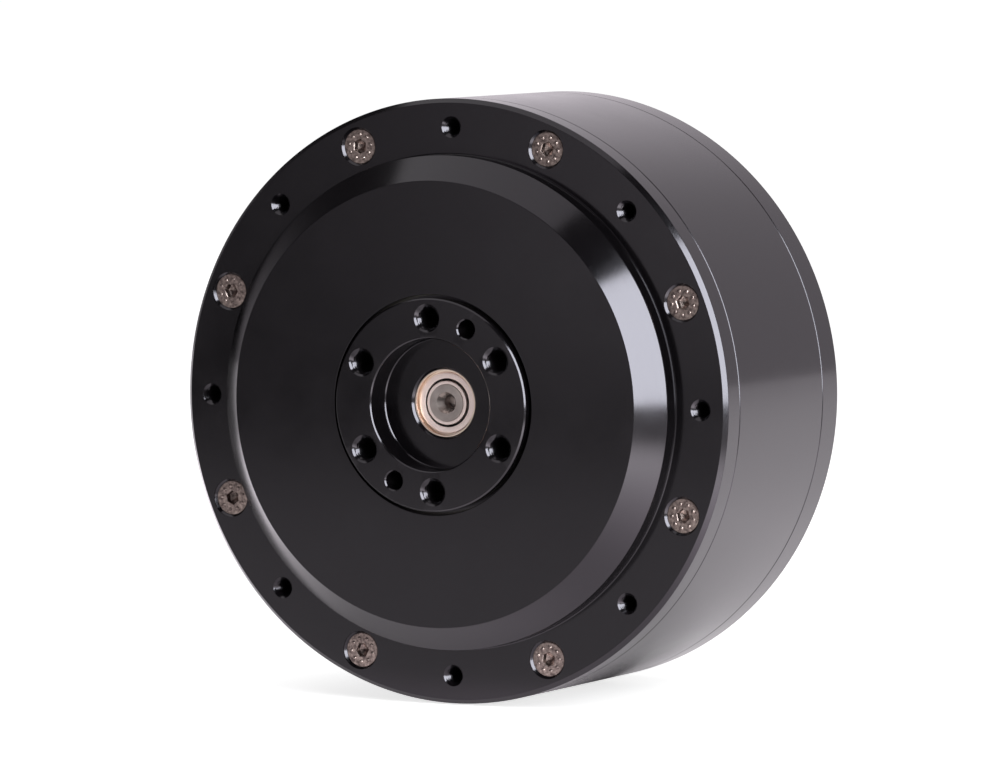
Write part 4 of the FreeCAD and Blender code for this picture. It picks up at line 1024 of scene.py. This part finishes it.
pilot_inner_form = bmesh.new()
turn_on_lathe(pilot_inner_form, eased([
    (pilot_bore, pilot_front - 0.2, 0.1),
    (pilot_bore + 0.55, pilot_front - 0.2, 0.1),
    (pilot_bore + 0.55, pilot_rear, 0.08),
    (pilot_bore, pilot_rear, 0.08),
]), 128)
pilot_inner = as_object(pilot_inner_form, "pilot_inner_race")
fitted(pilot_inner, bearing_steel, "middle_carrier", "bearing_steel", "pilot_bearing_inner_ring")

# Blackened pressed steel: thin shields, matt and dark so that they read as a ring-shaped shadow
# between the two bright rings.
shield_black, shield_tree, shield_shader, shield_spot = new_finish("blackened_shield_steel")
shield_haze = add_node(
    shield_tree, "ShaderNodeTexNoise", {"Scale": 1 / (0.6 * MM), "Detail": 3.0}, {"Vector": shield_spot},
)
shield_tone = add_node(
    shield_tree, "ShaderNodeMix", {"data_type": "RGBA", 6: colour("#1c1a1a"), 7: colour("#2c2a2a")},
    {"Factor": shield_haze.outputs["Fac"]},
)
shield_shader.inputs["Metallic"].default_value = 1.0
shield_shader.inputs["Roughness"].default_value = 0.45
shield_tree.links.new(shield_tone.outputs[2], shield_shader.inputs["Base Color"])

shield_form = bmesh.new()
for shield_front in (pilot_front + 0.3, pilot_rear - 0.6):
    turn_on_lathe(shield_form, eased([
        (pilot_shield_radius - 0.25, shield_front, 0.05),
        (pilot_shield_radius, shield_front, 0),
        (pilot_shield_radius, shield_front + 0.3, 0),
        (pilot_shield_radius - 0.25, shield_front + 0.3, 0.05),
    ]), 128)
pilot_shields = as_object(shield_form, "pilot_shields")
fitted(pilot_shields, shield_black, "output", "bearing_shield", "pilot_bearing_shields")


# ---- sockets of the driver
# A keyed yellow nylon power socket with two gold-plated tubes, and two small white nylon signal
# sockets with four square pins each. They stand on the driver board and reach the cap's windows.

socket_face = 53.5
contact_radius = 1.6
contact_depth = 8.0


def moulded(form, corners, front, rear, ease):
    """Adds a moulded prism over corners of (x, z), with its rear and long edges rounded over."""
    low = [form.verts.new((x * MM, front * MM, z * MM)) for x, z in corners]
    high = [form.verts.new((x * MM, rear * MM, z * MM)) for x, z in corners]
    form.faces.new(low)
    form.faces.new(reversed(high))
    count = len(corners)
    for i in range(count):
        j = (i + 1) % count
        form.faces.new((low[j], low[i], high[i], high[j]))
    rims = [form.edges.get((high[i], high[(i + 1) % count])) for i in range(count)]
    posts = [form.edges.get((low[i], high[i])) for i in range(count)]
    bmesh.ops.bevel(form, geom=rims + posts, offset=ease * MM, segments=3, affect="EDGES", clamp_overlap=True)


def nylon(name, dark, light):
    """Moulded nylon: slightly clouded plastic with a soft gloss and a faint grain from the mould,
    which keeps the sockets clean and bright against the black cap."""
    finish, tree, shader, spot = new_finish(name)
    clouds = add_node(
        tree, "ShaderNodeTexNoise", {"Scale": 1 / (3.0 * MM), "Detail": 3.0}, {"Vector": spot},
    )
    mould = add_node(
        tree, "ShaderNodeTexNoise", {"Scale": 1 / (0.15 * MM), "Detail": 2.0}, {"Vector": spot},
    )
    tint = add_node(
        tree, "ShaderNodeMix",
        {"data_type": "RGBA", 6: colour(dark), 7: colour(light)}, {"Factor": clouds.outputs["Fac"]},
    )
    relief = add_node(
        tree, "ShaderNodeBump", {"Strength": 1.0, "Distance": 0.004 * MM}, {"Height": mould.outputs["Fac"]},
    )
    shader.inputs["Roughness"].default_value = 0.38
    shader.inputs["IOR"].default_value = 1.53
    shader.inputs["Subsurface Weight"].default_value = 0.15
    shader.inputs["Subsurface Scale"].default_value = 0.6 * MM
    tree.links.new(tint.outputs[2], shader.inputs["Base Color"])
    tree.links.new(relief.outputs["Normal"], shader.inputs["Normal"])
    return finish


yellow_nylon = nylon("yellow_nylon", "#d9a51f", "#e6b32c")
white_nylon = nylon("white_nylon", "#dcd8cc", "#e8e5db")

power_half_width = power_socket_size[0] / 2
power_half_height = power_socket_size[1] / 2
power_key = power_socket_size[1] / 3
power_form = bmesh.new()
moulded(power_form, [
    (-power_half_width, power_socket_z - power_half_height),
    (power_half_width - power_key, power_socket_z - power_half_height),
    (power_half_width, power_socket_z - power_half_height + power_key),
    (power_half_width, power_socket_z + power_half_height - power_key),
    (power_half_width - power_key, power_socket_z + power_half_height),
    (-power_half_width, power_socket_z + power_half_height),
], board_rear, socket_face, 0.3)
power_tools = bmesh.new()
contact_places = [
    Matrix.Translation((x * MM, socket_face * MM, power_socket_z * MM)) @ Matrix.Rotation(math.pi, 4, "Z")
    for x in (-2.5, 2.5)
]
for place in contact_places:
    turn_on_lathe(power_tools, [
        (0, -1.0),
        (contact_radius + 0.3, -1.0),
        (contact_radius + 0.3, 0.0),
        (contact_radius, 0.3),
        (contact_radius, contact_depth),
        (0, contact_depth),
    ], 48, place)
power_socket = machined(power_form, power_tools, "power_socket_moulded")
fitted(power_socket, yellow_nylon, "case", "yellow_nylon", "power_socket")

# Gold plate on brass: the only warm metal at the rear, bright and smooth, with faint wear.
gold_plate, gold_tree, gold_shader, gold_spot = new_finish("gold_plated_brass")
gold_wear = add_node(
    gold_tree, "ShaderNodeTexNoise", {"Scale": 1 / (0.8 * MM), "Detail": 3.0}, {"Vector": gold_spot},
)
gold_tone = add_node(
    gold_tree, "ShaderNodeMix", {"data_type": "RGBA", 6: colour("#d7a94e"), 7: colour("#f0cd7a")},
    {"Factor": gold_wear.outputs["Fac"]},
)
gold_shader.inputs["Metallic"].default_value = 1.0
gold_shader.inputs["Roughness"].default_value = 0.22
gold_tree.links.new(gold_tone.outputs[2], gold_shader.inputs["Base Color"])

contact_form = bmesh.new()
for place in contact_places:
    turn_on_lathe(contact_form, eased([
        (contact_radius - 0.55, 0.3, 0.1),
        (contact_radius, 0.3, 0.1),
        (contact_radius, contact_depth, 0),
        (contact_radius - 0.55, contact_depth, 0),
    ]), 48, place)
power_contacts = as_object(contact_form, "power_contact_tubes")
fitted(power_contacts, gold_plate, "case", "gold_contact", "power_contacts")

signal_form = bmesh.new()
signal_tools = bmesh.new()
pin_form = bmesh.new()
signal_half_width = signal_socket_size[0] / 2
signal_half_height = signal_socket_size[1] / 2
pocket_width = signal_socket_size[0] - 2.0
pocket_height = signal_socket_size[1] - 2.0
pocket_floor = 49.0
pin_reach = 0.25
for side in (-1, 1):
    centre = side * signal_socket_x
    moulded(signal_form, [
        (centre - signal_half_width, signal_socket_z - signal_half_height),
        (centre + signal_half_width, signal_socket_z - signal_half_height),
        (centre + signal_half_width, signal_socket_z + signal_half_height),
        (centre - signal_half_width, signal_socket_z + signal_half_height),
    ], board_rear, socket_face, 0.2)
    block(signal_tools, centre, signal_socket_z, pocket_width, pocket_height, pocket_floor, socket_face + 1.5)
    block(signal_tools, centre, signal_socket_z - signal_half_height + 0.4, 2.4, 1.6, 51.0, socket_face + 1.5)
    for i in range(4):
        pin = centre + (i - 1.5) * pocket_width / 4
        moulded(pin_form, [
            (pin - pin_reach, signal_socket_z - pin_reach),
            (pin + pin_reach, signal_socket_z - pin_reach),
            (pin + pin_reach, signal_socket_z + pin_reach),
            (pin - pin_reach, signal_socket_z + pin_reach),
        ], pocket_floor, 52.5, 0.1)
signal_sockets = machined(signal_form, signal_tools, "signal_sockets_moulded", crossing=True)
fitted(signal_sockets, white_nylon, "case", "white_nylon", "signal_sockets")
signal_pins = as_object(pin_form, "signal_pins_plated")
fitted(signal_pins, gold_plate, "case", "gold_contact", "signal_pins")


# ---- gear train
# Two planetary stages in one fixed ring gear. Their gears are hobbed and case-hardened steel with
# a trace of oil. The plates are milled aluminium, and small black screws hold them.

def dressed(finish, *names):
    """Gives the frame's own meshes their finish."""
    for name in names:
        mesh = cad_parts[name].data
        mesh.materials.clear()
        mesh.materials.append(finish)


def oiled_steel(name, dark, light, roughness):
    """Machined steel under a thin film of oil: grey metal whose gloss changes in slow patches, so
    the teeth and shafts look used and wet rather than evenly polished."""
    finish, tree, shader, spot = new_finish(name)
    film = add_node(
        tree, "ShaderNodeTexNoise",
        {"Scale": 1 / (4.0 * MM), "Detail": 4.0, "Roughness": 0.6}, {"Vector": spot},
    )
    cuts = add_node(tree, "ShaderNodeTexNoise", {"Scale": 1 / (0.3 * MM), "Detail": 3.0}, {"Vector": spot})
    metal = add_node(
        tree, "ShaderNodeMix",
        {"data_type": "RGBA", 6: colour(dark), 7: colour(light)}, {"Factor": film.outputs["Fac"]},
    )
    wet = add_node(
        tree, "ShaderNodeMapRange",
        {"From Min": 0.35, "From Max": 0.65, "To Min": roughness - 0.08, "To Max": roughness + 0.1},
        {"Value": film.outputs["Fac"]},
    )
    relief = add_node(
        tree, "ShaderNodeBump", {"Strength": 1.0, "Distance": 0.004 * MM}, {"Height": cuts.outputs["Fac"]},
    )
    shader.inputs["Metallic"].default_value = 1.0
    tree.links.new(metal.outputs[2], shader.inputs["Base Color"])
    tree.links.new(wet.outputs["Result"], shader.inputs["Roughness"])
    tree.links.new(relief.outputs["Normal"], shader.inputs["Normal"])
    return finish


gear_steel = oiled_steel("oiled_gear_steel", "#8a8784", "#a9a5a1", 0.3)
planets = ["output_planet_1", "output_planet_2", "output_planet_3"]
planets += ["input_planet_1", "input_planet_2", "input_planet_3"]
dressed(gear_steel, "ring_gear", *planets)

shaft_steel = ground_steel("turned_shaft_steel", "#7a706d", "#c8bcb8", 0.38, 0.35, 0.01)
dressed(shaft_steel, "middle_sun_and_carrier", "rotor_shaft")
dressed(bearing_steel, "output_planet_pins", "input_planet_pins")
dressed(bearing_steel, "sun_bearing_outer_ring", "sun_bearing_inner_ring")
# Oiled steel darkened as painted shade: the output bearing rings show in the gap round the output flange, and
# their dark tone paints the shadow in that gap.
shade_darkened_race_steel = oiled_steel("oiled_race_steel_darkened_as_painted_shade", "#3b3937", "#565350", 0.34)
dressed(shade_darkened_race_steel, "output_bearing_outer_ring", "output_bearing_inner_ring")
dressed(bearing_steel, "rotor_bearing_outer_ring", "rotor_bearing_inner_ring")
dressed(shield_black, "output_bearing_shields", "rotor_bearing_shields")

# Milled aluminium without a coat: pale grey metal with the short arcs of a face mill, a good deal
# brighter than the anodised case around it.
milled_aluminium, milled_tree, milled_shader, milled_spot = new_finish("milled_aluminium")
mill_arcs = add_node(
    milled_tree, "ShaderNodeTexWave",
    {"wave_type": "RINGS", "rings_direction": "Y", "Scale": 1 / (4.0 * MM), "Distortion": 1.5, "Detail": 2.0},
    {"Vector": milled_spot},
)
mill_haze = add_node(
    milled_tree, "ShaderNodeTexNoise", {"Scale": 1 / (6.0 * MM), "Detail": 3.0}, {"Vector": milled_spot},
)
mill_tone = add_node(
    milled_tree, "ShaderNodeMix", {"data_type": "RGBA", 6: colour("#b9bbbd"), 7: colour("#d2d3d4")},
    {"Factor": mill_haze.outputs["Fac"]},
)
mill_relief = add_node(
    milled_tree, "ShaderNodeBump",
    {"Strength": 1.0, "Distance": 0.003 * MM}, {"Height": mill_arcs.outputs["Fac"]},
)
milled_shader.inputs["Metallic"].default_value = 1.0
milled_shader.inputs["Roughness"].default_value = 0.34
milled_tree.links.new(mill_tone.outputs[2], milled_shader.inputs["Base Color"])
milled_tree.links.new(mill_relief.outputs["Normal"], milled_shader.inputs["Normal"])
dressed(milled_aluminium, "carrier_plate", "gearbox_end_plate")

oxide_screw_steel = screw_steel("black_oxide_screw_steel", "#1f1e1f", "#3b3836", 0.4)
dressed(oxide_screw_steel, "ring_gear_screws", "gearbox_end_plate_screws", "carrier_plate_screws")
dressed(oxide_screw_steel, "rotor_hub_screws")


# ---- motor
# An outrunner: a zinc-plated steel bell with flat nickel-plated magnets glued inside runs round a
# laminated stator, whose 36 teeth carry coils of enamelled copper wire.

def plated(name, dark, light, roughness, patch_mm):
    """Plated metal: smooth and bright, with faint cloudy patches from the plating bath that break
    up its reflections."""
    finish, tree, shader, spot = new_finish(name)
    patches = add_node(
        tree, "ShaderNodeTexNoise",
        {"Scale": 1 / (patch_mm * MM), "Detail": 4.0, "Roughness": 0.6}, {"Vector": spot},
    )
    metal = add_node(
        tree, "ShaderNodeMix", {"data_type": "RGBA", 6: colour(dark), 7: colour(light)},
        {"Factor": patches.outputs["Fac"]},
    )
    bath = add_node(
        tree, "ShaderNodeMapRange", {"To Min": roughness - 0.08, "To Max": roughness + 0.08},
        {"Value": patches.outputs["Fac"]},
    )
    shader.inputs["Metallic"].default_value = 1.0
    tree.links.new(metal.outputs[2], shader.inputs["Base Color"])
    tree.links.new(bath.outputs["Result"], shader.inputs["Roughness"])
    return finish


zinc_plate = plated("zinc_plated_steel", "#a9b0b8", "#c8cdd3", 0.3, 5.0)
dressed(zinc_plate, "rotor_bell")
nickel_plate = plated("nickel_plated_magnet", "#b5b1aa", "#cfccc6", 0.2, 2.0)
dressed(nickel_plate, "rotor_magnets", "encoder_magnet")

# A stack of thin coated steel sheets: dark blue-grey, striped along the axis where the sheet edges
# show. Real sheets are 0.35 mm thick, and the stripes are drawn at 0.7 mm so that they can be seen.
lamination, lamination_tree, lamination_shader, lamination_spot = new_finish("stacked_lamination_steel")
sheet_lines = add_node(
    lamination_tree, "ShaderNodeTexWave",
    {"bands_direction": "Y", "Scale": 2 * math.pi / (20 * 0.7 * MM), "Distortion": 0.0},
    {"Vector": lamination_spot},
)
sheet_haze = add_node(
    lamination_tree, "ShaderNodeTexNoise",
    {"Scale": 1 / (3.0 * MM), "Detail": 3.0}, {"Vector": lamination_spot},
)
sheet_tone = add_node(
    lamination_tree, "ShaderNodeMix", {"data_type": "RGBA", 6: colour("#3c4148"), 7: colour("#6b7077")},
    {"Factor": sheet_lines.outputs["Fac"]},
)
sheet_gloss = add_node(
    lamination_tree, "ShaderNodeMapRange",
    {"To Min": 0.38, "To Max": 0.55}, {"Value": sheet_haze.outputs["Fac"]},
)
sheet_relief = add_node(
    lamination_tree, "ShaderNodeBump",
    {"Strength": 1.0, "Distance": 0.03 * MM}, {"Height": sheet_lines.outputs["Fac"]},
)
lamination_shader.inputs["Metallic"].default_value = 1.0
lamination_tree.links.new(sheet_tone.outputs[2], lamination_shader.inputs["Base Color"])
lamination_tree.links.new(sheet_gloss.outputs["Result"], lamination_shader.inputs["Roughness"])
lamination_tree.links.new(sheet_relief.outputs["Normal"], lamination_shader.inputs["Normal"])
dressed(lamination, "stator_core")

# Copper wire under clear enamel: warm orange-brown metal in a glassy coat, wound in rows of 0.5 mm
# wire that show as ridges round each coil. The colour darkens into the grooves between the rows, as painted
# shade.
enamelled_copper, winding_tree, winding_shader, winding_spot = new_finish("enamelled_copper_wire")
winding_split = add_node(winding_tree, "ShaderNodeSeparateXYZ", {}, {"Vector": winding_spot})
winding_flat = add_node(
    winding_tree, "ShaderNodeCombineXYZ",
    {}, {"X": winding_split.outputs["X"], "Y": winding_split.outputs["Z"]},
)
winding_radius = add_node(
    winding_tree, "ShaderNodeVectorMath", {"operation": "LENGTH"}, {0: winding_flat.outputs["Vector"]}
)
winding_phase = add_node(
    winding_tree, "ShaderNodeMath", {"operation": "MULTIPLY", 1: 2 * math.pi / (0.5 * MM)},
    {0: winding_radius.outputs["Value"]},
)
winding_rows = add_node(
    winding_tree, "ShaderNodeMath", {"operation": "SINE"}, {0: winding_phase.outputs["Value"]},
)
winding_share = add_node(
    winding_tree, "ShaderNodeMapRange",
    {"From Min": -1.0, "From Max": 1.0}, {"Value": winding_rows.outputs["Value"]},
)
# Painted shade: darker copper where the ridges dip between the rows.
winding_tone_with_painted_shade = add_node(
    winding_tree, "ShaderNodeMix", {"data_type": "RGBA", 6: colour("#6e2f16"), 7: colour("#c5703a")},
    {"Factor": winding_share.outputs["Result"]},
)
winding_relief = add_node(
    winding_tree, "ShaderNodeBump",
    {"Strength": 1.0, "Distance": 0.12 * MM}, {"Height": winding_share.outputs["Result"]},
)
winding_shader.inputs["Metallic"].default_value = 1.0
winding_shader.inputs["Roughness"].default_value = 0.34
winding_shader.inputs["Coat Weight"].default_value = 0.8
winding_shader.inputs["Coat Roughness"].default_value = 0.12
winding_tree.links.new(winding_tone_with_painted_shade.outputs[2], winding_shader.inputs["Base Color"])
winding_tree.links.new(winding_relief.outputs["Normal"], winding_shader.inputs["Normal"])
dressed(enamelled_copper, "stator_coils")

tinned_copper = plated("tinned_copper_strip", "#a56b4c", "#c98f6c", 0.36, 1.5)
dressed(tinned_copper, "phase_leads")


# ---- driver board
# A round green circuit board behind the motor, with black transistors and controller, three can
# capacitors, and the encoder chip that reads the magnet on the shaft's tail.

# Glass epoxy under green solder resist: a glossy dark green with slightly paler copper tracks
# under it, laid out on a square grid.
circuit_board, board_tree, board_shader, board_spot = new_finish("green_circuit_board")
board_turn = add_node(
    board_tree, "ShaderNodeMapping", {"Rotation": (math.radians(90), 0, 0)}, {"Vector": board_spot}
)
tracks = add_node(
    board_tree, "ShaderNodeTexBrick",
    {
        "Scale": 1 / (6.0 * MM), "Brick Width": 0.6, "Row Height": 0.2, "Mortar Size": 0.03,
        "Mortar Smooth": 0.1,
        "Color1": colour("#0f3a22"), "Color2": colour("#12452a"), "Mortar": colour("#1f6b41"),
    },
    {"Vector": board_turn.outputs["Vector"]},
)
board_relief = add_node(
    board_tree, "ShaderNodeBump", {"Strength": 1.0, "Distance": 0.03 * MM}, {"Height": tracks.outputs["Fac"]},
)
board_shader.inputs["Roughness"].default_value = 0.28
board_tree.links.new(tracks.outputs["Color"], board_shader.inputs["Base Color"])
board_tree.links.new(board_relief.outputs["Normal"], board_shader.inputs["Normal"])
dressed(circuit_board, "driver_board")

# Black epoxy of the chips: matt and finely grained, much flatter than the board under it.
chip_epoxy, chip_tree, chip_shader, chip_spot = new_finish("black_chip_epoxy")
chip_grain = add_node(
    chip_tree, "ShaderNodeTexNoise", {"Scale": 1 / (0.2 * MM), "Detail": 3.0}, {"Vector": chip_spot},
)
chip_tone = add_node(
    chip_tree, "ShaderNodeMix", {"data_type": "RGBA", 6: colour("#1a1a1b"), 7: colour("#262627")},
    {"Factor": chip_grain.outputs["Fac"]},
)
chip_relief = add_node(
    chip_tree, "ShaderNodeBump",
    {"Strength": 1.0, "Distance": 0.01 * MM}, {"Height": chip_grain.outputs["Fac"]},
)
chip_shader.inputs["Roughness"].default_value = 0.6
chip_tree.links.new(chip_tone.outputs[2], chip_shader.inputs["Base Color"])
chip_tree.links.new(chip_relief.outputs["Normal"], chip_shader.inputs["Normal"])
dressed(chip_epoxy, "board_chips")

can_aluminium = plated("drawn_aluminium_can", "#b8bcc1", "#d4d7da", 0.28, 3.0)
dressed(can_aluminium, "board_capacitors")
